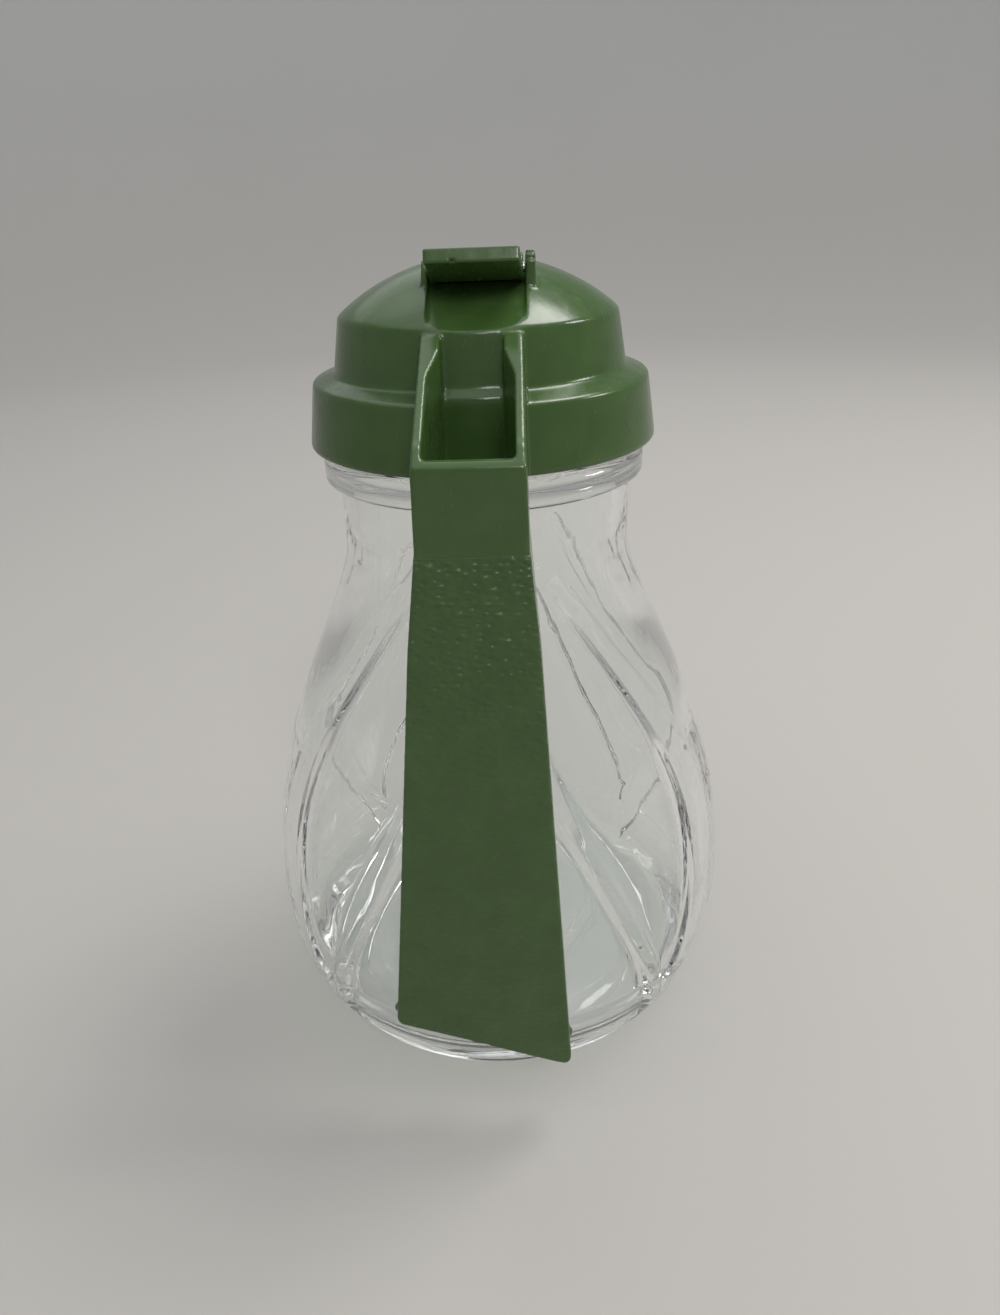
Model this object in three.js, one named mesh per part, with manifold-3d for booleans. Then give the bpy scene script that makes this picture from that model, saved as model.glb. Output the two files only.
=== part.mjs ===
// A syrup pitcher: a clear ribbed glass jar with a green moulded screw cap. The cap
// and its long channel handle are one moulding. Pressing the thumb tab down lifts
// the flap off the pour hole. Lengths are millimetres and angles are degrees. The
// jar's axis is Z, its foot stands at zero, the handle is towards -Y and the pour
// hole is towards +Y.

import * as THREE from 'three';
import { mergeVertices } from 'three/addons/utils/BufferGeometryUtils.js';
import Module from 'manifold-3d';

// Jar body
const bellyRadius = 48.5;
const footInset = 7.7; // how much smaller the foot is than the belly
const footSpread = 1;
const bellyHeight = 24.8;
const neckRadius = 27.5;
const neckHeight = 102.3;
const bellyRise = 38.9; // how far the belly's upward curve reaches before it turns in
const bellyFall = 11;
const neckRise = 15.4;
const bodyWall = 3;
const floorThickness = 5;
const floorCornerRadius = 9;

// Ribs on the jar: four inverted Vs whose legs meet in pairs at the foot
const ribHeight = 1.1;
const ribWidth = 5;
const ribTopDrop = 6.3; // from the neck down to the points of the Vs
const ribBottomHeight = 5;
const ribFade = 9;
const ribCount = 4;
const ribBowShare = 0.35; // how far the legs bow out from straight lines

// Bead, screw finish and lip of the jar
const beadRadius = 30.2;
const beadRise = 13.5; // from the neck up to the bead
const beadHalfHeight = 2.6;
const finishRadius = 24.9;
const finishWall = 2.6;
const lipRise = 12.3; // from the bead up to the lip
const lipRound = 0.9;

// Screw thread
const threadPitch = 3.6;
const threadDepth = 1.1;
const threadWidth = 1.5;
const threadTurns = 1.25;
const capThreadTurns = 0.7;
const threadClearance = 0.4;
const threadTopDrop = 2.4;

// Seal ring
const sealThickness = 1.5;
const seatGap = 0.3;
const sealInset = 0.4;

// Cap shell
const skirtGroove = 2.5; // between the collar and the skirt
const skirtDraft = 1.5;
const skirtClearance = 1.1; // between the bead and the skirt
const skirtRise = 0.7; // from the seal's seat up to the top of the skirt
const shoulderRise = 1.5;
const drumStep = 0.2;
const drumDraft = 1.5;
const drumHeight = 11.6; // from the seal's seat up to the rim of the dome
const domeRise = 9.2;
const skirtWall = 1.6;
const domeWall = 2;
const drumWall = 2.7;
const collarWall = 1.6;
const edgeRound = 0.7;

// Flap seat and pour hole in the dome
const seatDepth = 1.7;
const seatFloor = 1.8;
const seatSideGap = 0.35;
const padMargin = 2;
const pourHoleCentre = 16;
const pourHoleRadius = 5;
const spoutReach = 3.2;
const spoutWidth = 11;
const spoutCorner = 2.7;
const spoutTipThickness = 0.9;
const spoutDepth = 4.2;

// Hinge
const hingeBack = 12.6;
const hingeStand = 0.9; // height of the hinge line over the dome
const hingeShift = 0.6; // the photo shows the hinge a little to the right of the handle
const pinRadius = 0.8;
const pinClearance = 0.09;
const earWidth = 4.4;
const earTopRadius = 1.9;
const earThickness = 1.75;

// Thumb tab and flap
const flapWidth = 15.4;
const hubRadius = 2;
const hubClearance = 0.45;
const tabLength = 10.9;
const tabThickness = 1.8;
const tabTilt = 22.3;
const tabTipWidth = 15;
const tabTipShift = 0.35;
const flapOpenAngle = 45;
const flapRootInset = 0.9;
const flapThickness = 1.5;
const flapGap = 0.3;
const flapCover = 0.6; // how far the flap reaches past the pour hole
const flapCornerRadius = 3;

// Handle
const ribTopHalf = 8.1;
const gripTopHalf = 8.6;
const gripFlareHalf = 10.3;
const gripFootHalf = 16.1;
const gripTopDrop = 16.2; // from the seal's seat down to where the pebbled grip starts to widen
const gripFlareDrop = 32.2;
const gripFootHeight = 19;
const gripFootSlant = 10.6; // how much lower the right corner hangs than the left
const gripLean = 2; // the foot of the handle stands this far to the left
const footCornerCut = 1.8;
const plateJarGap = 1.2; // between the foot of the handle and the jar
const plateLean = 4.1; // how much further out the plate's foot stands than its top
const plateTopDrop = 3.2;
const bendDrop = 4.2;
const bridgeInset = 3.3;
const bridgeTopDrop = 1;
const plateThickness = 2.2;
const flangeThickness = 1.6;
const flangeDepthFoot = 3.2;
const flangeDepthMiddle = 6;
const flangeDepthTop = 7.5;
const webRise = 11;
const webLean = 1;
const webReach = 5.5;
const pocketBackHalf = 5;
const pocketSkirtGap = 1.9;
const plateLipDrop = 0.1;

// Facets
const roundSteps = 48;
const arcSteps = 5;
const domeSteps = 10;
const smallSteps = 2;
const floorSteps = 3;
const threadSteps = 28;
const threadFadeSteps = 3;
const flankSteps = 3; // columns on the jar from one rib to the next, each side of a V
const ribSteps = 4;
const lowSteps = 6;
const highSteps = 10;
const pinSteps = 24;
const overrun = 1; // how far a cut runs past what it cuts
const mergeDistance = 1e-4;

const halfShare = 0.5;
const leastFlankShare = 0.15;
const threadStartShare = 0.25;
const fullTurn = Math.PI * 2;
const rightAngle = Math.PI / 2;

const wasm = await Module();
wasm.setup();

// Sizes that other sizes fix
const footRadius = bellyRadius - footInset;
const ribTopHeight = neckHeight - ribTopDrop;
const beadHeight = neckHeight + beadRise;
const lipHeight = beadHeight + lipRise;
const threadCrestRadius = finishRadius + threadDepth;
const collarInner = threadCrestRadius + threadClearance;
const collarOuter = collarInner + collarWall;
const sealTop = lipHeight + seatGap + sealThickness;
const capSeatHeight = sealTop + seatGap;
const beadTop = beadHeight + beadHalfHeight;
const threadBottom = lipHeight - threadTopDrop - threadPitch * threadTurns;
const collarBottom = beadTop + 2 * seatGap + threadWidth;
const skirtRadius = collarOuter + skirtGroove + skirtWall;
const skirtTopRadius = skirtRadius - skirtDraft;
const skirtBottomHeight = beadTop + skirtClearance;
const skirtTopHeight = capSeatHeight + skirtRise;
const shoulderHeight = skirtTopHeight + shoulderRise;
const drumBottomRadius = collarInner + drumStep;
const rimRadius = drumBottomRadius - drumDraft;
const rimHeight = capSeatHeight + drumHeight;
const domeRadius = (rimRadius * rimRadius + domeRise * domeRise) / (2 * domeRise);
const domeCentre = rimHeight + domeRise - domeRadius;
const seatRadius = domeRadius - seatDepth;
const seatHalf = flapWidth * halfShare + seatSideGap;
const pinLength = (seatHalf + earThickness) * 2;
const hingeHeight = domeHeight(domeRadius, hingeBack) + hingeStand;
const flapFront = pourHoleCentre + pourHoleRadius + flapCover;
const gripTopHeight = capSeatHeight - gripTopDrop;
const gripFlareHeight = capSeatHeight - gripFlareDrop;
const plateFootReach = bellyRadius + ribHeight + plateJarGap + flangeDepthFoot;
const plateTopReach = plateFootReach - plateLean;
const plateTopHeight = capSeatHeight - plateTopDrop;
const plateLipHeight = plateTopHeight - plateLipDrop;
const bridgeTopReach = plateTopReach - bridgeInset;
const bridgeTopHeight = capSeatHeight - bridgeTopDrop;
const pocketMiddleReach = skirtRadius + pocketSkirtGap;
const tiltAngle = THREE.MathUtils.degToRad(tabTilt);
const pressedAngle = THREE.MathUtils.degToRad(flapOpenAngle - tabTilt);

// Converts a closed geometry to a solid that can be joined and cut.
function toSolid(geometry) {
  geometry.deleteAttribute('normal');
  geometry.deleteAttribute('uv');
  const merged = mergeVertices(geometry, mergeDistance);
  const vertProperties = new Float32Array(merged.attributes.position.array);
  const triVerts = new Uint32Array(merged.index.array);
  return new wasm.Manifold(new wasm.Mesh({ numProp: 3, vertProperties, triVerts }));
}

// Converts a solid back to a geometry.
function toGeometry(solid) {
  const mesh = solid.getMesh();
  const geometry = new THREE.BufferGeometry();
  geometry.setAttribute('position', new THREE.BufferAttribute(mesh.vertProperties, 3));
  geometry.setIndex(new THREE.BufferAttribute(mesh.triVerts, 1));
  return geometry;
}

// Closed surface through a stack of rings with equal counts of points. Each end is
// closed by a fan, so the first and last rings are small or flat.
function ringStack(rings) {
  const count = rings[0].length;
  const places = [];
  const faces = [];
  rings.forEach((ring) => ring.forEach((point) => places.push(point.x, point.y, point.z)));
  for (let row = 0; row + 1 < rings.length; row += 1) {
    for (let step = 0; step < count; step += 1) {
      const next = (step + 1) % count;
      const low = row * count;
      const high = low + count;
      faces.push(low + step, low + next, high + next);
      faces.push(low + step, high + next, high + step);
    }
  }
  [0, rings.length - 1].forEach((row) => {
    const middle = rings[row].reduce((sum, point) => sum.clone().add(point), new THREE.Vector3());
    middle.divideScalar(count);
    places.push(middle.x, middle.y, middle.z);
    const centre = places.length / 3 - 1;
    for (let step = 0; step < count; step += 1) {
      const next = (step + 1) % count;
      const here = row * count + step;
      const there = row * count + next;
      faces.push(centre, row === 0 ? there : here, row === 0 ? here : there);
    }
  });
  const geometry = new THREE.BufferGeometry();
  geometry.setAttribute('position', new THREE.Float32BufferAttribute(places, 3));
  geometry.setIndex(faces);
  return geometry;
}

// Points along a round corner from one angle to another.
function roundCorner(x, y, radius, from, to, steps = arcSteps) {
  const points = [];
  for (let step = 0; step <= steps; step += 1) {
    const angle = from + ((to - from) * step) / steps;
    points.push([x + radius * Math.cos(angle), y + radius * Math.sin(angle)]);
  }
  return points;
}

// Points along a cubic curve, without its last point.
function curvePoints(a, b, c, d, steps) {
  const curve = new THREE.CubicBezierCurve(
    new THREE.Vector2(...a), new THREE.Vector2(...b), new THREE.Vector2(...c), new THREE.Vector2(...d),
  );
  return curve.getPoints(steps).slice(0, steps).map((point) => [point.x, point.y]);
}

// Solid turned about the jar's axis from a closed outline of [radius, height] points.
function turned(outline, steps = roundSteps) {
  const points = outline.concat([outline[0]]).map(([r, z]) => new THREE.Vector2(r, z));
  const geometry = new THREE.LatheGeometry(points, steps);
  geometry.rotateX(rightAngle);
  return toSolid(geometry);
}

// Solid with an outline of [y, z] points and a width along X, centred on x.
function slabAcross(outline, width, x = 0) {
  const shape = new THREE.Shape(outline.map(([y, z]) => new THREE.Vector2(y, z)));
  const geometry = new THREE.ExtrudeGeometry(shape, { depth: width, bevelEnabled: false });
  geometry.applyMatrix4(new THREE.Matrix4().set(
    0, 0, 1, x - width * halfShare,
    1, 0, 0, 0,
    0, 1, 0, 0,
    0, 0, 0, 1,
  ));
  return toSolid(geometry);
}

// Solid with an outline of [x, z] points that runs along Y from near to far.
function slabAlong(outline, near, far) {
  const shape = new THREE.Shape(outline.map(([x, z]) => new THREE.Vector2(x, z)));
  const geometry = new THREE.ExtrudeGeometry(shape, { depth: far - near, bevelEnabled: false });
  geometry.rotateX(rightAngle);
  geometry.translate(0, far, 0);
  return toSolid(geometry);
}

// Solid with an outline of [x, y] points between two heights.
function slabUp(outline, low, high) {
  const shape = new THREE.Shape(outline.map(([x, y]) => new THREE.Vector2(x, y)));
  const geometry = new THREE.ExtrudeGeometry(shape, { depth: high - low, bevelEnabled: false });
  geometry.translate(0, 0, low);
  return toSolid(geometry);
}

// Rod along X about the hinge line.
function hingeRod(radius, length) {
  const geometry = new THREE.CylinderGeometry(radius, radius, length, pinSteps);
  geometry.rotateZ(rightAngle);
  geometry.translate(hingeShift, -hingeBack, hingeHeight);
  return toSolid(geometry);
}

// Thread as a ridge on the outside or inside of a wall, fading out at both ends. It
// rises as it goes round to the left, so turning the cap to the left lifts it.
function threadRidge(wallRadius, reach, bottom, turns) {
  const rings = [];
  const steps = Math.round(threadSteps * turns);
  for (let step = 0; step <= steps; step += 1) {
    const gone = (turns * step) / steps;
    const angle = fullTurn * gone;
    const fade = Math.min(1, threadStartShare + Math.min(step, steps - step) / threadFadeSteps);
    const height = bottom + threadPitch * gone;
    const root = wallRadius - Math.sign(reach) * seatGap;
    const crest = wallRadius + reach * fade;
    const rootHalf = threadWidth * halfShare;
    const crestHalf = rootHalf * halfShare;
    const section = [[root, -rootHalf], [crest, -crestHalf], [crest, crestHalf], [root, rootHalf]];
    const order = reach > 0 ? section : section.reverse();
    const turn = new THREE.Vector2(Math.cos(angle), Math.sin(angle));
    rings.push(order.map(([r, z]) => new THREE.Vector3(r * turn.x, r * turn.y, height + z)));
  }
  return toSolid(ringStack(rings.reverse()));
}

// Outline of the jar from the foot up to the neck, drawn in by an inset.
function bodyOutline(inset) {
  const foot = [footRadius - inset, 0];
  const belly = [bellyRadius - inset, bellyHeight];
  const neck = [neckRadius - inset, neckHeight];
  const footPull = [foot[0] + footSpread, footSpread];
  const low = curvePoints(foot, footPull, [belly[0], bellyHeight - bellyFall], belly, lowSteps);
  const neckPull = [neck[0], neckHeight - neckRise];
  const high = curvePoints(belly, [belly[0], bellyHeight + bellyRise], neckPull, neck, highSteps);
  return [...low, ...high, neck];
}

// Angle of a rib's centre from the point of its V at a height.
function ribAngle(height) {
  const fall = (ribTopHeight - height) / (ribTopHeight - ribBottomHeight);
  const share = THREE.MathUtils.clamp(fall, 0, 1);
  return (Math.PI / ribCount) * (share + ribBowShare * share * share * (1 - share));
}

// Angles spaced evenly from one to another, without the last.
function evenAngles(from, to, steps) {
  return Array.from({ length: steps }, (_, step) => from + ((to - from) * step) / steps);
}

// Ring of the jar's outside at a height. Its points gather along the legs of each V,
// so the ribs run clean however they slant.
function ribbedRing(radius, height) {
  const sector = Math.PI / ribCount;
  const half = (ribWidth * halfShare) / radius;
  const centre = ribAngle(height);
  const room = half * leastFlankShare;
  const middle = THREE.MathUtils.clamp(centre, half + room, sector - half - room);
  const fade = Math.min((ribTopHeight + ribFade - height) / ribFade, height / ribFade);
  const rise = ribHeight * THREE.MathUtils.clamp(fade, 0, 1);
  const leg = [
    ...evenAngles(0, middle - half, flankSteps),
    ...evenAngles(middle - half, middle + half, ribSteps),
    ...evenAngles(middle + half, sector, flankSteps),
  ];
  const back = leg.slice(1).reverse().map((angle) => 2 * sector - angle);
  const ring = [];
  for (let panel = 0; panel < ribCount; panel += 1) {
    [...leg, sector, ...back].forEach((angle) => {
      const off = Math.min(Math.abs(Math.min(angle, 2 * sector - angle) - centre) / half, 1);
      const reach = radius + rise * Math.cos(off * rightAngle) ** 2;
      const turn = angle + panel * 2 * sector - rightAngle;
      ring.push(new THREE.Vector3(reach * Math.cos(turn), reach * Math.sin(turn), height));
    });
  }
  return ring;
}

// Outside of the jar from its flat foot up to its bead.
function jarBody() {
  const rings = bodyOutline(0).map(([radius, height]) => ribbedRing(radius, height));
  return toSolid(ringStack([...rings, ribbedRing(neckRadius, beadHeight)]));
}

// Bead, screw finish and lip of the jar.
function jarFinish() {
  const lip = lipHeight - lipRound;
  return turned([
    [0, beadHeight - beadHalfHeight],
    ...roundCorner(beadRadius - beadHalfHeight, beadHeight, beadHalfHeight, -rightAngle, rightAngle),
    [finishRadius, beadTop + edgeRound],
    ...roundCorner(finishRadius - lipRound, lip, lipRound, 0, rightAngle, smallSteps),
    [0, lipHeight],
  ]);
}

// Space inside the jar, out through the lip.
function jarSpace() {
  const bore = finishRadius - finishWall;
  const round = floorCornerRadius;
  const centre = floorThickness + round;
  const wallFoot = bellyRadius - bodyWall - round;
  const corner = roundCorner(wallFoot, centre, round, -rightAngle, 0, floorSteps).slice(0, floorSteps);
  const wall = bodyOutline(bodyWall).filter(([, height]) => height > centre);
  return turned([
    [0, floorThickness],
    ...corner,
    ...wall,
    [neckRadius - bodyWall, beadHeight - beadHalfHeight],
    [bore, beadTop],
    [bore, lipHeight - lipRound],
    [bore + lipRound + overrun, lipHeight + overrun],
    [0, lipHeight + overrun],
  ]);
}

// Jar in one piece of glass.
function glassJar() {
  const ridge = threadRidge(finishRadius, threadDepth, threadBottom, threadTurns);
  return jarBody().add(jarFinish()).subtract(jarSpace()).add(ridge);
}

// Seal ring that lies in the cap, on the glass lip.
function rimSeal() {
  const inner = finishRadius - finishWall + sealInset;
  const outer = collarInner - seatGap;
  const low = sealTop - sealThickness;
  return turned([[inner, low], [outer, low], [outer, sealTop], [inner, sealTop]]);
}

// Height of a ball about the dome's centre, at a distance out from its top.
function domeHeight(radius, out) {
  return domeCentre + Math.sqrt(radius ** 2 - out ** 2);
}

// Points along such a ball from one distance out to another.
function domeArc(radius, from, to) {
  const points = [];
  for (let step = 0; step <= domeSteps; step += 1) {
    const out = from + ((to - from) * step) / domeSteps;
    points.push([out, domeHeight(radius, out)]);
  }
  return points;
}

// Outline of the cap's shell: skirt, shoulder, drum and dome outside, then the dome,
// drum, seat, threaded collar and groove inside.
function capOutline() {
  const innerRim = rimRadius - drumWall;
  const grooveTop = skirtTopHeight - skirtWall;
  const skirtLow = skirtBottomHeight + edgeRound;
  const skirtHigh = skirtTopHeight - edgeRound;
  return [
    [skirtRadius - skirtWall, skirtBottomHeight],
    ...roundCorner(skirtRadius - edgeRound, skirtLow, edgeRound, -rightAngle, 0, smallSteps),
    ...roundCorner(skirtTopRadius - edgeRound, skirtHigh, edgeRound, 0, rightAngle, smallSteps),
    [drumBottomRadius + edgeRound, shoulderHeight],
    [drumBottomRadius, shoulderHeight + edgeRound],
    [rimRadius, rimHeight - edgeRound],
    ...domeArc(domeRadius, rimRadius - edgeRound, 0),
    ...domeArc(domeRadius - domeWall, 0, innerRim),
    [innerRim, rimHeight - drumWall],
    [drumBottomRadius - drumWall, capSeatHeight],
    [collarInner, capSeatHeight],
    [collarInner, collarBottom],
    [collarOuter, collarBottom],
    [collarOuter, grooveTop],
    [skirtTopRadius - skirtWall, grooveTop],
  ];
}

// Pad that thickens the dome under the flap's seat and the tab's recess.
function seatPad() {
  const reach = rimRadius - drumWall * halfShare;
  const below = domeArc(seatRadius - seatFloor, 0, reach);
  const above = domeArc(domeRadius - domeWall * halfShare, reach, 0);
  const left = hingeShift - seatHalf - padMargin;
  const right = hingeShift + seatHalf + padMargin;
  const plan = [[left, -rimRadius], [right, -rimRadius], [right, rimRadius], [left, rimRadius]];
  const strip = slabUp(plan, 0, hingeHeight);
  return turned([...below, ...above]).intersect(strip);
}

// Cut for the flap: a shallow seat from the hinge to the front rim, with a round
// trough for the hub.
function seatCut() {
  const front = rimRadius + spoutReach;
  const top = hingeHeight + hubRadius + overrun;
  const outline = [...domeArc(seatRadius, -hingeBack, front), [front, top], [-hingeBack, top]];
  const seat = slabAcross(outline, seatHalf * 2, hingeShift);
  return seat.add(hingeRod(hubRadius + hubClearance, seatHalf * 2));
}

// Cut behind the hinge: a recess that slopes down to the rim. The pressed tab sinks
// into it and lies along its floor.
function tabRecess() {
  const below = hubRadius + hubClearance;
  const start = below * Math.sin(pressedAngle) - hingeBack;
  const end = -rimRadius - overrun;
  const startHeight = hingeHeight - below * Math.cos(pressedAngle);
  const endHeight = startHeight - (start - end) * Math.tan(pressedAngle);
  const top = hingeHeight + hubRadius + overrun;
  const outline = [[end, endHeight], [start, startHeight], [start, top], [end, top]];
  return slabAcross(outline, seatHalf * 2, hingeShift);
}

// Pouring lip that carries the seat's floor out over the drum.
function pourSpout() {
  const start = rimRadius - drumWall * halfShare;
  const tip = rimRadius + spoutReach;
  const tipTop = domeHeight(seatRadius, tip);
  const outline = [
    [start, domeHeight(seatRadius, start)],
    [rimRadius, domeHeight(seatRadius, rimRadius)],
    [tip, tipTop],
    [tip, tipTop - spoutTipThickness],
    [rimRadius, tipTop - spoutDepth],
    [start, tipTop - spoutDepth],
  ];
  const side = spoutWidth * halfShare - spoutCorner;
  const plan = slabUp([
    [-spoutWidth * halfShare, 0],
    [spoutWidth * halfShare, 0],
    ...roundCorner(side, tip - spoutCorner, spoutCorner, 0, rightAngle),
    ...roundCorner(-side, tip - spoutCorner, spoutCorner, rightAngle, Math.PI),
  ], skirtTopHeight, hingeHeight);
  return slabAcross(outline, spoutWidth).intersect(plan);
}

// Cut for the pour hole.
function pourHole() {
  const outline = roundCorner(0, pourHoleCentre, pourHoleRadius, 0, fullTurn, pinSteps).slice(1);
  return slabUp(outline, rimHeight - domeRise, hingeHeight);
}

// Ball about the dome's centre, down to the rim.
function domeBall(radius) {
  const edge = Math.sqrt(radius ** 2 - (rimHeight - domeCentre) ** 2);
  return turned([[0, rimHeight], ...domeArc(radius, edge, 0)]);
}

// One hinge ear, standing on the dome beside the flap.
function hingeEar(side) {
  const x = hingeShift + side * (seatHalf + earThickness * halfShare);
  const outline = [
    [-hingeBack - earWidth * halfShare, rimHeight],
    [-hingeBack + earWidth * halfShare, rimHeight],
    ...roundCorner(-hingeBack, hingeHeight, earTopRadius, 0, Math.PI, domeSteps),
  ];
  return slabAcross(outline, earThickness, x).subtract(domeBall(domeRadius - domeWall * halfShare));
}

// Half width and middle of the handle at a height.
function handleSpan(height) {
  const flareShare = (gripTopHeight - height) / (gripTopHeight - gripFlareHeight);
  const footShare = (gripFlareHeight - height) / (gripFlareHeight - gripFootHeight);
  const topShare = (rimHeight - height) / (rimHeight - gripTopHeight);
  let half = ribTopHalf + (gripTopHalf - ribTopHalf) * topShare;
  if (height < gripTopHeight) half = gripTopHalf + (gripFlareHalf - gripTopHalf) * flareShare;
  if (height < gripFlareHeight) half = gripFlareHalf + (gripFootHalf - gripFlareHalf) * footShare;
  const leanShare = Math.max(0, gripTopHeight - height) / (gripTopHeight - gripFootHeight);
  return { half, middle: -gripLean * leanShare };
}

// Left and right sides of the handle's front outline as [x, z], drawn in by an inset.
// Each runs from the top down to its own corner of the slanted foot.
function handleSides(inset, drop) {
  return [-1, 1].map((sign) => {
    const foot = gripFootHeight - sign * gripFootSlant * halfShare - drop;
    return [rimHeight - edgeRound, gripTopHeight, gripFlareHeight, foot].map((height) => {
      const { half, middle } = handleSpan(height);
      return [middle + sign * (half - inset), height];
    });
  });
}

// Front outline of the handle with the two corners of its foot cut off.
function handleFront() {
  const [left, right] = handleSides(0, 0);
  const leftFoot = new THREE.Vector2(...left.pop());
  const rightFoot = new THREE.Vector2(...right.pop());
  const slope = rightFoot.clone().sub(leftFoot).setLength(footCornerCut);
  const up = new THREE.Vector2(0, footCornerCut);
  const foot = [
    leftFoot.clone().add(up), leftFoot.clone().add(slope),
    rightFoot.clone().sub(slope), rightFoot.clone().add(up),
  ];
  return [...left, ...foot.map((point) => [point.x, point.y]), ...right.reverse()];
}

// Distance of the plate's outer face from the jar's axis at a height.
function plateReach(height) {
  const share = (plateTopHeight - height) / (plateTopHeight - gripFootHeight);
  return plateTopReach + (plateFootReach - plateTopReach) * share;
}

// Side outline of the handle as [y, z]: ribs sloping from the rim to the bend, the
// plate's outer face, and the flanges' inner edge curving up to the skirt.
function handleSide() {
  const low = gripFootHeight - gripFootSlant;
  const middle = (gripFlareHeight + gripFootHeight) * halfShare;
  const drumRoot = rimRadius - drumWall * halfShare;
  const skirtRoot = skirtRadius - skirtWall * halfShare;
  const collarRoot = collarOuter - collarWall * halfShare;
  const bendFoot = plateTopHeight - bendDrop;
  const bend = new THREE.QuadraticBezierCurve(
    new THREE.Vector2(-bridgeTopReach, bridgeTopHeight),
    new THREE.Vector2(-plateTopReach, plateTopHeight),
    new THREE.Vector2(-plateReach(bendFoot), bendFoot),
  ).getPoints(arcSteps).map((point) => [point.x, point.y]);
  const innerTop = plateReach(gripFlareHeight) - flangeDepthTop;
  const web = curvePoints(
    [-innerTop, gripFlareHeight],
    [-innerTop + webLean, gripFlareHeight + webRise],
    [-skirtRoot - webReach, skirtBottomHeight - webReach],
    [-skirtRoot, skirtBottomHeight],
    arcSteps,
  );
  return [
    [-drumRoot, rimHeight - edgeRound],
    [-rimRadius, rimHeight - edgeRound],
    ...bend,
    [-plateReach(low), low],
    [-plateReach(low) + flangeDepthFoot, low],
    [-plateReach(middle) + flangeDepthMiddle, middle],
    ...web,
    [-skirtRoot, skirtBottomHeight],
    [-collarRoot, collarBottom],
    [-collarRoot, skirtTopHeight - skirtWall * halfShare],
    [-drumRoot, shoulderHeight],
  ];
}

// Space between the ribs, as seen from above: narrow at the drum, wide at the plate.
function pocketSpace() {
  const half = gripTopHalf - flangeThickness;
  const drum = drumBottomRadius - drumWall;
  const outline = [
    [gripFootHalf, -plateFootReach],
    [gripFootHalf, -bridgeTopReach],
    [half, -bridgeTopReach],
    [half, -pocketMiddleReach],
    [pocketBackHalf, -collarOuter],
    [pocketBackHalf, -drum],
  ];
  const mirrored = outline.map(([x, y]) => [-x, y]).reverse();
  return slabUp([...outline, ...mirrored], gripTopHeight, rimHeight);
}

// Space that is taken out of the handle: behind its plate, above the plate's lip and
// down between its flanges, as far as the cap's own drum and collar.
function handleHollow() {
  const low = gripFootHeight - gripFootSlant - overrun;
  const far = plateFootReach + overrun;
  const behind = slabAcross([
    [0, rimHeight],
    [-plateReach(rimHeight) + plateThickness, rimHeight],
    [-plateReach(low) + plateThickness, low],
    [0, low],
  ], gripFootHalf * 2 + gripLean * 2);
  const overLip = [[0, plateLipHeight], [-far, plateLipHeight], [-far, rimHeight], [0, rimHeight]];
  const aboveLip = slabAcross(overLip, gripFootHalf * 2);
  const [left, right] = handleSides(flangeThickness, overrun);
  const between = slabAlong([...left, ...right.reverse()], -far - overrun, 0);
  const wide = gripFootHalf + gripLean + overrun;
  const below = slabUp([[-wide, -far], [wide, -far], [wide, 0], [-wide, 0]], low - overrun, gripTopHeight);
  const core = turned([
    [0, gripFlareHeight],
    [collarOuter, gripFlareHeight],
    [collarOuter, shoulderHeight - shoulderRise * halfShare],
    [drumBottomRadius, shoulderHeight + edgeRound],
    [rimRadius, rimHeight],
    [0, rimHeight],
  ]);
  return behind.add(aboveLip).intersect(between).intersect(pocketSpace().add(below)).subtract(core);
}

// Handle, as its side outline cut to its front outline.
function handleBlock() {
  const side = slabAcross(handleSide(), (gripFootHalf + gripLean + overrun) * 2);
  return side.intersect(slabAlong(handleFront(), -plateFootReach - overrun, 0));
}

// Cap and handle in one moulding.
function capHandle() {
  const outside = turned(capOutline()).add(handleBlock()).subtract(handleHollow());
  const raised = outside.add(seatPad()).add(pourSpout()).add(hingeEar(-1)).add(hingeEar(1));
  const bore = hingeRod(pinRadius + pinClearance, pinLength + overrun * 2);
  const open = raised.subtract(seatCut().add(tabRecess())).subtract(pourHole()).subtract(bore);
  const threadReach = threadClearance * halfShare - threadDepth;
  const capThreadBottom = threadBottom + threadPitch * halfShare;
  return open.add(threadRidge(collarInner, threadReach, capThreadBottom, capThreadTurns));
}

// Steel pin through both ears.
function hingePin() {
  return hingeRod(pinRadius, pinLength);
}

// Flap in its seat, with rounded front corners.
function flapPlate() {
  const under = seatRadius + flapGap;
  const root = flapRootInset - hingeBack;
  const lower = domeArc(under, root, flapFront);
  const upper = domeArc(under + flapThickness, flapFront, root);
  const half = flapWidth * halfShare;
  const corner = flapCornerRadius;
  const plan = slabUp([
    [hingeShift - half, -hingeBack],
    [hingeShift + half, -hingeBack],
    ...roundCorner(hingeShift + half - corner, flapFront - corner, corner, 0, rightAngle),
    ...roundCorner(hingeShift - half + corner, flapFront - corner, corner, rightAngle, Math.PI),
  ], rimHeight - domeRise, hingeHeight + domeRise);
  return slabAcross([...lower, ...upper], flapWidth, hingeShift).intersect(plan);
}

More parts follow.
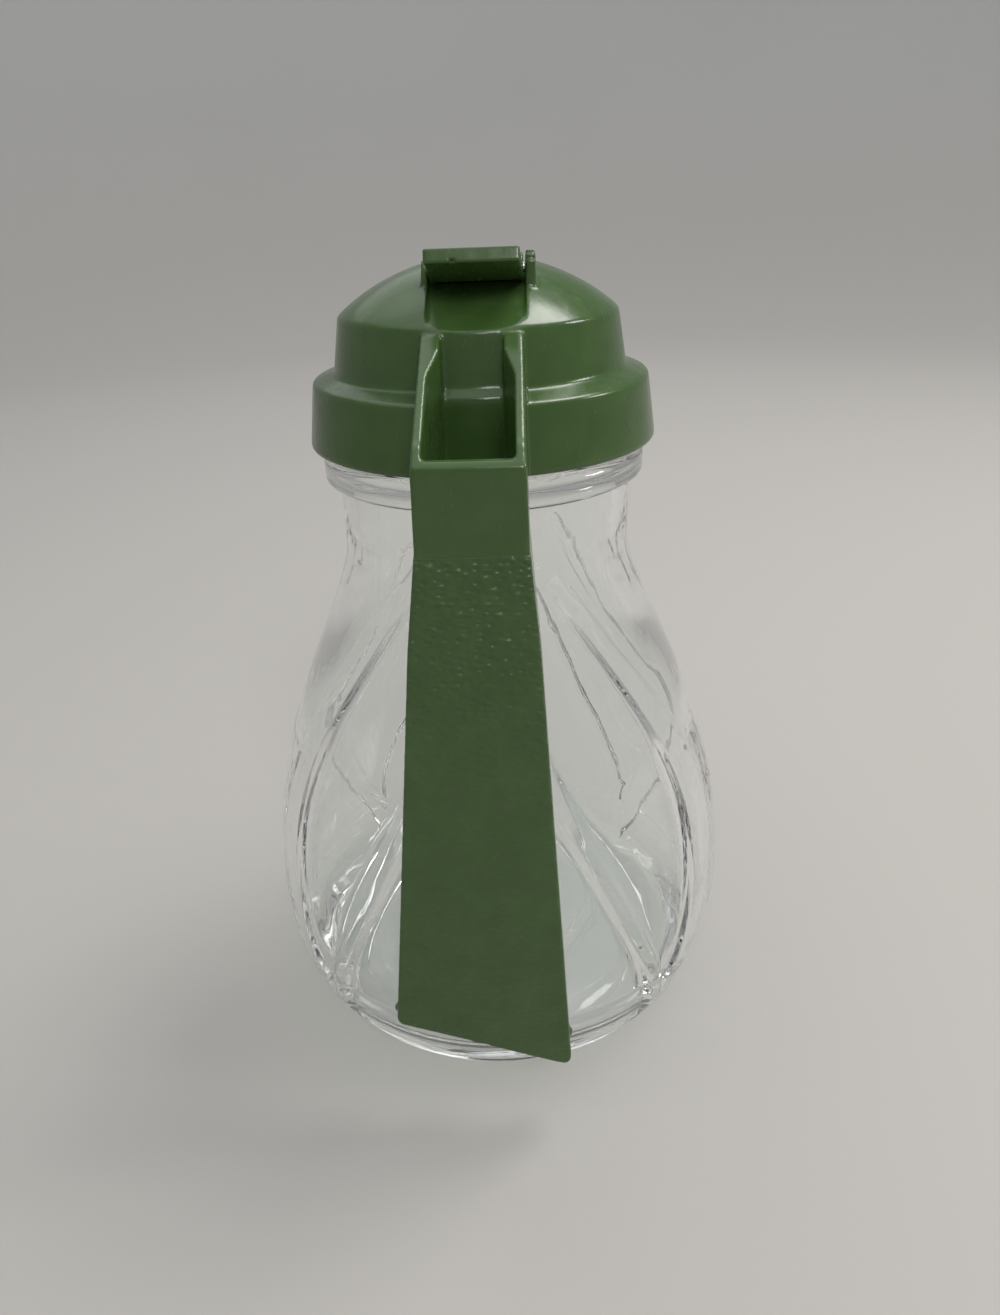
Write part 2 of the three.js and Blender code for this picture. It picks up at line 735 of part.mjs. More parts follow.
// Thumb tab, tilted up from the hub and narrowing to its tip.
function thumbTab() {
  const half = flapWidth * halfShare;
  const tip = tabTipWidth * halfShare;
  const place = (out, rise) => {
    const point = new THREE.Vector2(-out, rise).rotateAround(new THREE.Vector2(), -tiltAngle);
    return [point.x - hingeBack, point.y + hingeHeight];
  };
  const top = tabThickness - hubRadius;
  const tipFace = place(tabLength, -hubRadius);
  const plan = slabUp([
    [tabTipShift - tip, tipFace[0]],
    [tabTipShift + tip, tipFace[0]],
    [hingeShift + half, -hingeBack],
    [hingeShift - half, -hingeBack],
  ], rimHeight, hingeHeight + domeRise);
  const side = [place(0, -hubRadius), place(0, top), place(tabLength, top), tipFace];
  return slabAcross(side, flapWidth * 2).intersect(plan);
}

// Thumb tab, hub and flap in one moulding, bored for the pin.
function pourFlap() {
  const solid = hingeRod(hubRadius, flapWidth).add(flapPlate()).add(thumbTab());
  return solid.subtract(hingeRod(pinRadius + pinClearance, flapWidth + overrun * 2));
}

const finishes = {
  glass: { color: 0xe8eeee, roughness: 0.04, metalness: 0 },
  green: { color: 0x2f5a27, roughness: 0.3, metalness: 0 },
  steel: { color: 0xb9bcc0, roughness: 0.3, metalness: 1 },
  seal: { color: 0xd9d6cc, roughness: 0.7, metalness: 0 },
};

const pitcher = new THREE.Group();

function place(name, solid, finish) {
  const mesh = new THREE.Mesh(toGeometry(solid), new THREE.MeshStandardMaterial(finishes[finish]));
  mesh.name = name;
  pitcher.add(mesh);
}

place('glass_jar', glassJar(), 'glass');
place('rim_seal', rimSeal(), 'seal');
place('cap_handle', capHandle(), 'green');
place('hinge_pin', hingePin(), 'steel');
place('pour_flap', pourFlap(), 'green');

export default pitcher;
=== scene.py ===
from math import cos, exp, pi, radians, sin, sqrt, tan
import bmesh
import bpy
from mathutils import Matrix, Vector, noise


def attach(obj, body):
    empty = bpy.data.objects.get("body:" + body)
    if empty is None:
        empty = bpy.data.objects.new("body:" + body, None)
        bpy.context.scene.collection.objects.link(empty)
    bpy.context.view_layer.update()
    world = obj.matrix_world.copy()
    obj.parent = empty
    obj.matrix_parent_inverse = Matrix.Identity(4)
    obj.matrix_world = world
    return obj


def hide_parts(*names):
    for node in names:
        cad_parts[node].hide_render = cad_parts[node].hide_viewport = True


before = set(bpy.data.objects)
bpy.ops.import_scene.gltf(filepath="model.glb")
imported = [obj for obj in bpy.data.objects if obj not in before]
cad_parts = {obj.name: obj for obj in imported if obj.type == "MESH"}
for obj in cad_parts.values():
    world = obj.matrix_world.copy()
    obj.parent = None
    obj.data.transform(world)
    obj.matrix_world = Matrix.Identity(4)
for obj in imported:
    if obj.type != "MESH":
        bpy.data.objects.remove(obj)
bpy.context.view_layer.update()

scene = bpy.context.scene
mm = 0.001
quarter = pi / 2
fullTurn = 2 * pi
weldGap = 0.00000002  # metres, points nearer than this are one
margin = 1  # how far added solids and cuts go past the surfaces they meet
fineSteps = 240  # faces round a large turned solid
print("frame loaded:", sorted(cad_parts))


# mesh tools that every piece uses
def circle(centre, radius, steps):
    # points of a round outline
    u, v = centre
    angles = [step / steps * fullTurn for step in range(steps)]
    return [(u + radius * cos(angle), v + radius * sin(angle)) for angle in angles]


def band(low, high):
    # faces between two rings of points, or a ring and a point
    faces = []
    for step in range(max(len(low), len(high))):
        face = (low[step % len(low)], low[(step + 1) % len(low)],
                high[(step + 1) % len(high)], high[step % len(high)])
        faces.append(tuple(dict.fromkeys(face)))
    return faces


def newObject(name, data):
    made = bpy.data.objects.new(name, data)
    scene.collection.objects.link(made)
    return made


def meshPiece(name, points, faces):
    # points are millimetres
    mesh = bpy.data.meshes.new(name)
    mesh.from_pydata([(x * mm, y * mm, z * mm) for x, y, z in points], [], faces)
    piece = newObject(name, mesh)
    tidyMesh(piece)
    return piece


def tidyMesh(piece):
    # welds doubled points and turns every face outwards
    mesh = bmesh.new()
    mesh.from_mesh(piece.data)
    bmesh.ops.remove_doubles(mesh, verts=mesh.verts, dist=weldGap)
    bmesh.ops.recalc_face_normals(mesh, faces=mesh.faces)
    mesh.to_mesh(piece.data)
    mesh.free()


def rounded(corners, steps=5):
    # closed outline from (u, v, radius) corners
    leastAngle = 0.05  # radians
    mostShare = 0.48  # of a side, for one of its rounds
    outline = []
    for index, (u, v, radius) in enumerate(corners):
        here = Vector((u, v))
        back = Vector(corners[index - 1][:2]) - here
        ahead = Vector(corners[(index + 1) % len(corners)][:2]) - here
        if radius == 0:
            outline.append((u, v))
            continue
        reach = radius / tan(max(back.angle(ahead), leastAngle) / 2)
        reach = min(reach, back.length * mostShare, ahead.length * mostShare)
        start = here + back.normalized() * reach
        end = here + ahead.normalized() * reach
        for step in range(steps + 1):
            share = step / steps
            outline.append(tuple(start.lerp(here, share).lerp(here.lerp(end, share), share)))
    return outline


def turned(outline, steps, name="tool"):
    # solid turned about the jar's axis from a closed outline of (radius, height)
    onAxis = 0.00001
    points, faces, rings = [], [], []
    for radius, height in outline:
        if radius < onAxis:
            rings.append([len(points)])
            points.append((0, 0, height))
            continue
        rings.append(list(range(len(points), len(points) + steps)))
        points += [(x, y, height) for x, y in circle((0, 0), radius, steps)]
    for index, ring in enumerate(rings):
        other = rings[(index + 1) % len(rings)]
        if len(ring) > 1 or len(other) > 1:
            faces += band(ring, other)
    return meshPiece(name, points, faces)


def slab(outline, low, high, along, name="tool"):
    # prism along an axis, from an outline of (y, z) along x, (x, z) along y or (x, y) along z
    def point(u, v, w):
        return {"x": (w, u, v), "y": (u, w, v), "z": (u, v, w)}[along]
    count = len(outline)
    points = [point(u, v, low) for u, v in outline] + [point(u, v, high) for u, v in outline]
    faces = [tuple(range(count)), tuple(range(2 * count - 1, count - 1, -1))]
    return meshPiece(name, points, faces + band(range(count), range(count, 2 * count)))


def rodAcross(radius, length, centre, steps=48, name="tool"):
    # round rod along X, centred on (x, y, z)
    x, y, z = centre
    return slab(circle((y, z), radius, steps), x - length / 2, x + length / 2, "x", name)


def applyModifiers(piece):
    graph = bpy.context.evaluated_depsgraph_get()
    graph.update()
    made = bpy.data.meshes.new_from_object(piece.evaluated_get(graph))
    piece.modifiers.clear()
    piece.data = made


def combine(piece, tool, how="UNION"):
    # how is UNION, DIFFERENCE or INTERSECT, and the tool is used up
    change = piece.modifiers.new("combine", "BOOLEAN")
    change.solver = "MANIFOLD"
    change.operation = how
    change.object = tool
    applyModifiers(piece)
    bpy.data.objects.remove(tool)
    return piece


def softenEdges(piece, width, segments=3):
    # rounds the sharp edges of a plain solid
    sharpest = 35  # degrees that an edge turns before it is rounded
    bevel = piece.modifiers.new("soften", "BEVEL")
    bevel.width = width * mm
    bevel.segments = segments
    bevel.limit_method = "ANGLE"
    bevel.angle_limit = radians(sharpest)
    applyModifiers(piece)
    return piece


def moulded(piece, sizes):
    # gives a joined solid small rounds, then thins its mesh where it is flat
    remesh = piece.modifiers.new("remesh", "REMESH")
    remesh.mode = "VOXEL"
    remesh.voxel_size = sizes["cell"] * mm
    smooth = piece.modifiers.new("smooth", "SMOOTH")
    smooth.factor = 0.5
    smooth.iterations = sizes["smoothing"]
    applyModifiers(piece)
    triangles, most = 2 * len(piece.data.polygons), sizes["mostFaces"]
    if triangles > most:
        thin = piece.modifiers.new("thin", "DECIMATE")
        thin.ratio = most / triangles
        applyModifiers(piece)
    print(piece.name, "moulded:", len(piece.data.polygons), "faces")
    return smoothShading(piece)


def smoothShading(piece):
    piece.data.polygons.foreach_set("use_smooth", [True] * len(piece.data.polygons))
    piece.data.update()
    return piece


def curve(a, b, c, d, steps):
    # points along a cubic curve between a and d, without d
    points = []
    for step in range(steps):
        t = step / steps
        s = 1 - t
        points.append(tuple(s ** 3 * p + 3 * s * s * t * q + 3 * s * t * t * r + t ** 3 * w
                            for p, q, r, w in zip(a, b, c, d)))
    return points


# small helpers for the materials
def newMaterial(name):
    material = bpy.data.materials.new(name)
    material.use_nodes = True
    tree = material.node_tree
    shader = tree.nodes["Principled BSDF"]
    place = tree.nodes.new("ShaderNodeTexCoord").outputs["Object"]
    return material, tree, shader, place


def fill(tree, node, values):
    # numbers and colours are set, and outputs linked, on the named inputs
    for name, value in values.items():
        if isinstance(value, bpy.types.NodeSocket):
            tree.links.new(value, node.inputs[name])
        else:
            node.inputs[name].default_value = value
    return node


def newNode(tree, kind, values):
    return fill(tree, tree.nodes.new("ShaderNode" + kind), values)


def noiseNode(tree, vector, scale, detail=3.0, roughness=0.5, distortion=0.0, output="Fac"):
    values = {"Vector": vector, "Scale": scale, "Detail": detail,
              "Roughness": roughness, "Distortion": distortion}
    return newNode(tree, "TexNoise", values).outputs[output]


def stretched(tree, vector, stretch):
    return newNode(tree, "Mapping", {"Vector": vector, "Scale": stretch}).outputs["Vector"]


def mathNode(tree, kind, *values):
    node = newNode(tree, "Math", {})
    node.operation = kind
    return fill(tree, node, dict(enumerate(values))).outputs["Value"]


def ranged(tree, value, low, high, start=0.0, end=1.0):
    values = {"Value": value, "From Min": low, "From Max": high, "To Min": start, "To Max": end}
    node = newNode(tree, "MapRange", values)
    node.interpolation_type = "SMOOTHSTEP"
    return node.outputs["Result"]


def colourBetween(tree, factor, stops):
    node = newNode(tree, "ValToRGB", {"Fac": factor})
    ramp = node.color_ramp
    while len(ramp.elements) < len(stops):
        ramp.elements.new(0.5)
    for element, (place, colour) in zip(ramp.elements, stops):
        element.position = place
        element.color = (*colour, 1)
    return node.outputs["Color"]


def bumpNode(tree, height, distance, below=None):
    node = newNode(tree, "Bump", {"Height": height, "Distance": distance, "Strength": 1.0})
    if below is not None:
        fill(tree, node, {"Normal": below})
    return node.outputs["Normal"]


# the camera stands at the photograph's viewing angle
view = {
    "place": (8.885, -188.457, 164.121),
    "turnRight": -2.196,  # degrees, as the next two
    "lookDown": 25.955,
    "roll": -2.101,
    "focal": 1000,  # pixels in an image of 1000 by 1315
    "longSide": 1315,  # pixels
    "sensor": 36,
    "nearest": 5,
}


def makeCamera():
    turn, down, roll = (radians(view[name]) for name in ("turnRight", "lookDown", "roll"))
    ahead = Vector((sin(turn) * cos(down), cos(turn) * cos(down), -sin(down)))
    level = Vector((cos(turn), -sin(turn), 0))
    above = level.cross(ahead)
    right = cos(roll) * level + sin(roll) * above
    up = -sin(roll) * level + cos(roll) * above
    data = bpy.data.cameras.new("photoCamera")
    data.sensor_width = view["sensor"]
    data.lens = view["sensor"] * view["focal"] / view["longSide"]
    data.clip_start = view["nearest"] * mm
    camera = newObject("photoCamera", data)
    spin = Matrix((right, up, -ahead)).transposed().to_4x4()
    camera.matrix_world = Matrix.Translation(Vector(view["place"]) * mm) @ spin
    scene.camera = camera


makeCamera()
print("camera made")

# glass jar
jar = {
    "bellyRadius": 48.5,
    "bellyHeight": 24.8,
    "bellyRise": 38.9,
    "bellyFall": 11,
    "footRadius": 40.8,
    "footSpread": 1,
    "footRound": 1.3,
    "footSweep": 1.45,  # radians of that round
    "footBulge": 0.5,  # of the round past footRadius
    "footFlat": 3,  # from footRadius in to where the flat ring starts
    "footRingWidth": 6,
    "footRings": (2, 4, 5),  # sixths of the way out to the flat ring
    "footTop": 0.9,  # of the round's height, where the body's line starts
    "footHollow": 1,
    "hollowEdge": [(-1.2, 1), (-0.7, 0.85), (-0.1, 0.2), (0.5, 0)],  # out from the ring, and up
    "neckRadius": 27.5,
    "neckHeight": 102.3,
    "neckRise": 15.4,
    "wall": 3,
    "floor": 5,
    "floorCorner": 9,
    "floorRings": (0.85, 0.7, 0.5, 0.3, 0.15),  # shares of the flat floor
    "beadRadius": 30.2,
    "beadHeight": 115.8,
    "beadHalf": 2.5,
    "beadLowRound": 0.75,
    "beadTopRound": 1.9,
    "beadInset": 0.15,
    "beadStart": 0.9,  # below the bead, where the neck turns out
    "beadRoot": [(0.1, -0.3), (0.4, -0.05)],  # out from the neck, up from the bead's lower face
    "finishRoot": [(0.9, 0.1), (0.25, 0.35)],  # out from the finish, up from the bead's top
    "finishStart": 0.8,
    "finishRows": 38,
    "finishRadius": 24.9,
    "finishWall": 2.6,
    "lipHeight": 128.1,
    "lipRound": 1.1,
    "ribHeight": 1.1,
    "ribWidth": 6,
    "ribCrown": 0.38,  # share of the width that is nearly flat
    "ribFall": 0.2,  # share of the height lost towards its flanks
    "ribTop": 96,
    "ribBottom": 5,
    "ribFade": 9,  # over this height the ribs rise from the wall
    "ribBow": 0.35,  # outward bow of the V's legs
    "ribFoot": 45,  # degrees from the front and the back to where the ribs meet
    "petalHeight": 1.0,  # of the rounder rib outside the V
    "petalLine": [(5, 44), (38, 57), (52, 83), (104, 22)],  # a curve in height and degrees
    "petalHalf": 2.6,  # half of its width at its ends
    "petalSwell": 3.4,  # added to that half in the middle
    "petalMiddle": 46,  # the height where it is widest
    "petalSpread": 26,
    "petalFlank": 1.2,  # the width of its sloping edges
    "petalTop": 99,
    "threadPitch": 3.6,
    "threadDepth": 1.1,
    "threadWidth": 1.7,
    "threadTurns": 1.25,
    "threadDrop": 2.4,
    "threadFade": 0.1,  # turns
    "threadFlank": 1.5,
    "columns": (9, 15, 9, 19, 12),  # faces before, on and after the rib, on and after the petal
    "leastColumns": 0.02,  # radians that each of those groups keeps
    "evenRise": 7,  # over this height above the ribs the columns even out
    "gatherRadius": 20,  # rings smaller than this take the columns of this one
    "gatherTop": 60,  # above this height only the body's rings follow the ribs
    "evenHeight": 120,
    "shoulderExtra": 2.2,  # extra thickness below the neck
    "shoulderHeight": 84,
    "shoulderSpread": 22,
    "waveHeight": 0.16,  # of the unevenness inside the wall
    "waveLength": 17,
    "waveStretch": 0.6,
    "fineWave": 0.35,
    "fineWaves": 2.7,  # of the fine waves to one large one
    "waveRadius": 20,  # the waves die away inside this radius
    "waveTopFade": 12,
    "tint": (0.975, 0.99, 0.985),
    "shadowTint": (0.93, 0.945, 0.94),
    "bending": 1.5,  # index of refraction
    "smears": 0.035,  # roughness of the dullest smears
    "smearScale": 55,  # in a metre, as the next one
    "rippleScale": 130,
    "rippleDepth": 0.00006,  # metres
}


def bodyLine(inset, steps):
    # points from the foot up to the neck
    foot = (jar["footRadius"] - inset, 0)
    belly = (jar["bellyRadius"] - inset, jar["bellyHeight"])
    neck = (jar["neckRadius"] - inset, jar["neckHeight"])
    low = curve(foot, (foot[0] + jar["footSpread"], jar["footSpread"]),
                (belly[0], belly[1] - jar["bellyFall"]), belly, steps // 4)
    high = curve(belly, (belly[0], belly[1] + jar["bellyRise"]),
                 (neck[0], neck[1] - jar["neckRise"]), neck, steps)
    return low + high + [neck]


petalPoints = curve(*jar["petalLine"], 60) + [jar["petalLine"][-1]]


def ribCentre(height):
    share = min(max((jar["ribTop"] - height) / (jar["ribTop"] - jar["ribBottom"]), 0), 1)
    return radians(jar["ribFoot"]) * (share + jar["ribBow"] * share * share * (1 - share))


def petalCentre(height):
    for (low, start), (high, end) in zip(petalPoints, petalPoints[1:]):
        if height <= high:
            return radians(start + (end - start) * max(height - low, 0) / (high - low))
    return radians(petalPoints[-1][1])


def petalHalf(height):
    off = (height - jar["petalMiddle"]) / jar["petalSpread"]
    return jar["petalHalf"] + jar["petalSwell"] * exp(-off * off)


def columnAngles(radius, height):
    # angles of one ring, gathered along the ribs and even above them
    half, wide = jar["ribWidth"] / 2 / radius, petalHalf(height) / radius
    rib, petal = ribCentre(height), petalCentre(height)
    between = (rib + petal) / 2
    stops = [0, rib - half, min(rib + half, between),
             max(petal - wide, between), petal + wide, quarter]
    for index in range(1, 5):
        stops[index] = max(stops[index], stops[index - 1] + jar["leastColumns"])
    leg = [low + (high - low) * step / count
           for low, high, count in zip(stops, stops[1:], jar["columns"]) for step in range(count)]
    even = [quarter * step / len(leg) for step in range(len(leg))]
    level = min(max((height - jar["ribTop"] - jar["ribFade"]) / jar["evenRise"], 0), 1)
    leg = [a + (b - a) * level for a, b in zip(leg, even)]
    leg.append(quarter)
    panel = leg + [pi - angle for angle in leg[-2:0:-1]]
    return [angle + pi * index for index in range(2) for angle in panel]


def ribRise(angle, radius, height):
    # the front and the back are alike: an inverted V inside a rounder petal
    angle = angle % (pi)
    angle = min(angle, pi - angle)
    foot = height / jar["ribFade"]
    off = min(abs(angle - ribCentre(height)) * radius / (jar["ribWidth"] / 2), 1)
    flank = max((off - jar["ribCrown"]) / (1 - jar["ribCrown"]), 0)
    fade = max(min((jar["ribTop"] + jar["ribFade"] - height) / jar["ribFade"], foot, 1), 0)
    rib = jar["ribHeight"] * fade * cos(flank * quarter) ** 2
    rib *= 1 - jar["ribFall"] * off * off
    inside = (petalHalf(height) - abs(angle - petalCentre(height)) * radius) / jar["petalFlank"]
    fade = max(min((jar["petalTop"] - height) / jar["ribFade"], foot, 1), 0)
    petal = jar["petalHeight"] * fade * sin(min(max(inside, 0), 1) * quarter) ** 2
    return max(rib, petal)


def threadRise(angle, height):
    pitch, turns = jar["threadPitch"], jar["threadTurns"]
    bottom = jar["lipHeight"] - jar["threadDrop"] - pitch * turns
    rise = 0
    for lap in (0, 1):
        gone = angle / fullTurn + lap
        if gone > turns:
            continue
        off = abs(height - bottom - pitch * gone) / (jar["threadWidth"] / 2)
        fade = min(min(gone, turns - gone) / jar["threadFade"], 1)
        flank = min(max(jar["threadFlank"] - off * jar["threadFlank"], 0), 1)
        rise = max(rise, fade * jar["threadDepth"] * flank)
    return rise


def glassWave(x, y, z):
    spot = Vector((x, y, z * jar["waveStretch"])) / jar["waveLength"]
    return noise.noise(spot) + jar["fineWave"] * noise.noise(spot * jar["fineWaves"])


def jarRows():
    # (radius, height, kind), from the foot up the outside and down the inside
    rows = [(0, jar["footHollow"], "plain")]
    ring = jar["footRadius"] - jar["footRingWidth"]
    rows += [(ring * share / 6, jar["footHollow"], "plain") for share in jar["footRings"]]
    rows += [(ring + out, share * jar["footHollow"], "plain") for out, share in jar["hollowEdge"]]
    rows.append((jar["footRadius"] - jar["footFlat"], 0, "plain"))
    foot = jar["footRound"]
    centre = jar["footRadius"] + jar["footBulge"] - foot
    rows += [(centre + foot * sin(a), foot - foot * cos(a), "body")
             for a in (step / 6 * jar["footSweep"] for step in range(6))]
    rows += [(r, z, "body") for r, z in bodyLine(0, 100) if z > foot * jar["footTop"]]
    # the neck and the bead
    neck, neckHeight = jar["neckRadius"], jar["neckHeight"]
    low, top = jar["beadHeight"] - jar["beadHalf"], jar["beadHeight"] + jar["beadHalf"]
    start = low - jar["beadStart"]
    rows += [(neck, neckHeight + (start - neckHeight) * step / 10, "body") for step in range(1, 11)]
    rows += [(neck + out, low + rise, "bead") for out, rise in jar["beadRoot"]]
    reach = jar["beadRadius"] - jar["beadInset"]
    for corner, level, start in ((jar["beadLowRound"], low, -90), (jar["beadTopRound"], top, 0)):
        middle = level + corner if start else level - corner
        rows += [(reach - corner + corner * cos(a), middle + corner * sin(a), "bead")
                 for a in (radians(start + 10 * step) for step in range(10))]
    # the finish that carries the thread, and the lip
    finish, lip, lift = jar["finishRadius"], jar["lipRound"], jar["finishStart"]
    bore, end = finish - jar["finishWall"], jar["lipHeight"] - lip
    rows += [(finish + out, top + rise, "thread") for out, rise in jar["finishRoot"]]
    rows += [(finish, top + lift + (end - top - lift) * step / jar["finishRows"], "thread")
             for step in range(jar["finishRows"] + 1)]
    arc = [quarter * step / 5 for step in range(1, 6)]
    rows += [(finish - lip + lip * cos(a), end + lip * sin(a), "plain") for a in arc]
    rows += [(bore + lip - lip * sin(a), end + lip * cos(a), "plain") for a in arc]
    rows += [(bore, end - (end - top) * step / 4, "plain") for step in range(1, 4)]
    # the bore widens to the neck over the bead's height
    inner = neck - jar["wall"]
    rows += [(bore + (inner - bore) * (0.5 - 0.5 * cos(step / 8 * pi)),
              top - (top - low) * step / 8, "inside") for step in range(9)]
    corner = jar["floorCorner"]
    level = jar["floor"] + corner
    wall = [(r, z) for r, z in bodyLine(jar["wall"], 70) if z > level + 0.3]
    neckDown = [(inner, low - (low - neckHeight) * step / 6) for step in range(1, 6)]
    rows += [(r, z, "inside") for r, z in neckDown + wall[::-1]]
    # the floor
    base = jar["bellyRadius"] - jar["wall"] - corner
    rows += [(base + corner * cos(a), level - corner * sin(a), "inside")
             for a in (quarter * step / 12 for step in range(13))]
    rows += [(base * share, jar["floor"], "inside") for share in jar["floorRings"]]
    rows.append((0, jar["floor"], "inside"))
    return rows


def ringAngles(radius, height, kind):
    if kind != "body" and height > jar["gatherTop"]:
        height = jar["evenHeight"]
    return columnAngles(max(radius, jar["gatherRadius"]), height)


def insideReach(radius, x, y, height):
    # the wall's inside is a little uneven, and thicker below the neck
    fade = min(max((jar["beadHeight"] - height) / jar["waveTopFade"], 0), 1)
    fade = min(radius / jar["waveRadius"], 1) * fade
    reach = radius + fade * jar["waveHeight"] * glassWave(x * radius, y * radius, height)
    off = min(abs(height - jar["shoulderHeight"]) / jar["shoulderSpread"], 1)
    return reach - jar["shoulderExtra"] * cos(off * quarter) ** 2


def makeJar():
    points, rings, faces = [], [], []
    for radius, height, kind in jarRows():
        if radius == 0:
            rings.append([len(points)])
            points.append((0, 0, height))
            continue
        ring = []
        for angle in ringAngles(radius, height, kind):
            turn = angle - quarter
            x, y = cos(turn), sin(turn)
            reach = radius
            if kind == "body":
                reach += ribRise(angle, radius, height)
            elif kind == "thread":
                reach += threadRise(turn % fullTurn, height)
            elif kind == "inside":
                reach = insideReach(radius, x, y, height)
            ring.append(len(points))
            points.append((reach * x, reach * y, height))
        rings.append(ring)
    for low, high in zip(rings, rings[1:]):
        faces += band(low, high)
    print("glass jar made:", len(faces), "faces")
    return smoothShading(meshPiece("glassJar", points, faces))


def glassMaterial():
    material, tree, shader, place = newMaterial("clearGlass")
    smears = noiseNode(tree, place, jar["smearScale"], detail=4, roughness=0.6)
    smears = ranged(tree, smears, 0.5, 0.75, 0.0, jar["smears"])
    ripple = stretched(tree, place, (1, 1, 0.4))
    ripple = noiseNode(tree, ripple, jar["rippleScale"], detail=2)
    fill(tree, shader, {"Base Color": (*jar["tint"], 1), "Transmission Weight": 1,
                        "IOR": jar["bending"], "Roughness": smears,
                        "Normal": bumpNode(tree, ripple, jar["rippleDepth"])})
    # lamps and soft light pass straight through, so the glass throws no glare on the floor
    clear = newNode(tree, "BsdfTransparent", {"Color": (*jar["shadowTint"], 1)})
    path = newNode(tree, "LightPath", {})
    surface = shader.outputs["BSDF"]
    for kind in ("Is Shadow Ray", "Is Diffuse Ray"):
        inputs = {"Fac": path.outputs[kind], 1: surface, 2: clear.outputs["BSDF"]}
        surface = newNode(tree, "MixShader", inputs).outputs["Shader"]
    fill(tree, tree.nodes["Material Output"], {"Surface": surface})
    return material


# cap and handle, one moulding
cap = {
    "skirtRadius": 32.1,
    "skirtTopRadius": 30.6,
    "skirtBottom": 119.5,
    "skirtTop": 130.9,
    "shoulder": 132.4,
    "drumRadius": 26.6,
    "rimRadius": 25.1,
    "rimHeight": 141.8,
    "domeRise": 9.2,
    "domeStart": 1.1,  # in from the rim
    "rounds": (0.4, 0.75, 0.9, 0.9, 0.9),  # up the outside
    "innerRounds": (0.4, 0, 0, 0.3, 0.5, 0.5, 0.6),  # down the inside
    "skirtWall": 1.6,
    "domeWall": 2,
    "drumWall": 2.7,
    "collarInner": 26.4,
    "collarOuter": 28,
    "collarBottom": 120.5,
    "seat": 130.2,
    "seatDepth": 1.7,
    "seatFloor": 1.8,
    "padMargin": 2,
    "padReach": 30,
    "above": 160,  # a height over the whole cap
    "holeCentre": 16,
    "holeRadius": 5,
    "holeLow": 132,
    "spoutReach": 3.2,
    "spoutWidth": 11,
    "spoutCorner": 2.7,
    "spoutTip": 0.9,
    "spoutDepth": 4.2,
    "spoutBelow": 120,
    "threadTurns": 0.7,
    "threadSteps": 90,
    "threadFade": 8,  # steps
    "threadRoot": 0.3,
    "threadHeight": 1.2,
    "threadBase": 0.75,  # half of the ridge's width at its root
    "threadCrest": 0.35,
    "earWidth": 4.4,
    "earTopRadius": {-1: 1.5, 1: 1.9},  # left, right
    "earThickness": {-1: 1.1, 1: 1.75},
    "earFlash": {-1: 0, 1: 1.3},
    "flashSpot": (0.61, 4.2, 1.7),  # noise step along the ear, and place
    "earBall": (130, 40, 36),  # the ball that trims the ears: its foot's height and two radii
    "cell": 0.3,
    "smoothing": 9,
    "mostFaces": 190000,
}
hinge = {
    "centre": (0.6, -12.6, 149.8),
    "boreRadius": 0.89,
    "boreLength": 24,
    "seatHalf": 8.05,
    "seatOpen": 3,  # how far above the hinge the cuts for the flap reach
    "troughRadius": 2.45,
    "pressedSlope": 24,  # degrees
}
handle = {
    "topHalf": 8.1,
    "gripTopHalf": 8.6,
    "flareHalf": 10.3,
    "footHalf": 16.1,
    "gripTop": 114,
    "flare": 98,
    "foot": 19,
    "footSlant": 10.6,
    "lean": 2,
    "footCorner": 1.8,
    "gripRound": 3,
    "flareRound": 9,
    "topReach": 49.9,
    "footReach": 54,
    "plateTop": 127,
    "topDrop": 0.7,  # from the drum's rim to the top of the ribs
    "bendTop": 126.5,
    "bendRound": 1.3,
    "bendEnd": 110,
    "bridgeReach": 46.6,
    "bridgeTop": 129.2,
    "bridgeRise": 2,  # over its bridgeRun
    "bridgeRun": 9,
    "bridgeRound": 4,
    "plate": 2.2,
    "flange": 1.6,
    "flangeFoot": 3.2,
    "flangeMiddle": 6,
    "flangeTop": 7.5,
    "flangeBow": [(-0.2, 1), (-0.8, -20), (0.5, 15)],  # in, and up from its foot and middle
    "webRise": 11,
    "webLean": 1,
    "webReach": 5.5,
    "backHalf": 5,
    "pocketReach": 34,
    "pocketRounds": (0.5, 4),  # of its front and inner corners
    "pocketTop": 142,
    "pocketOpen": (24, 58),  # half width and reach where it is open in front
    "plateLip": 127.2,
    "edge": 0.55,
    "blockHalf": 22,  # half the width of the slab it is cut from
    "clearHalf": 25,
    "clearReach": 60,
    "hollowLow": 2,
    "hollowDrop": 6,
    "hollowFoot": 1,
    "coreLow": 97,
    "coreBend": ((-0.75, 0.8), (0.6, 0.6)),  # up from the shoulder, and round
    "rootInset": 0.8,
    "nubRadius": 0.7,
    "nubLength": 1.5,
    "nubRise": {-1: 2.0, 1: 6.4},  # left, right
    "nubInset": 0.15,
    "nubDepth": 2.2,
    "middleNub": (-1, 1.2, 0.2),  # right, in and up
    "gripLine": (113.4, 113.1),  # the grip fades in between these heights
    "gripEdge": (0.9, 0.4),  # and between these depths behind the plate's face
    "gripClear": (50, 108),  # the pebbles get clearer between these heights
    "plainRoughness": (0.17, 0.30),
    "gripRoughness": 0.16,
    "gripStep": 0.00005,  # metres, as the next two
    "pebbleHeight": 0.0005,
    "skinDepth": 0.000012,
    "pebbles": 900,  # in a metre, as the next four
    "bendScale": 260,
    "mottleScale": 140,
    "wearScale": 420,
    "skinScale": 900,
    "pebbleBend": (0.0008, 0.0008, 0.0008),
    "greens": [(0.3, (0.037, 0.081, 0.019)), (0.52, (0.044, 0.092, 0.023)),
               (0.72, (0.051, 0.102, 0.027))],
}
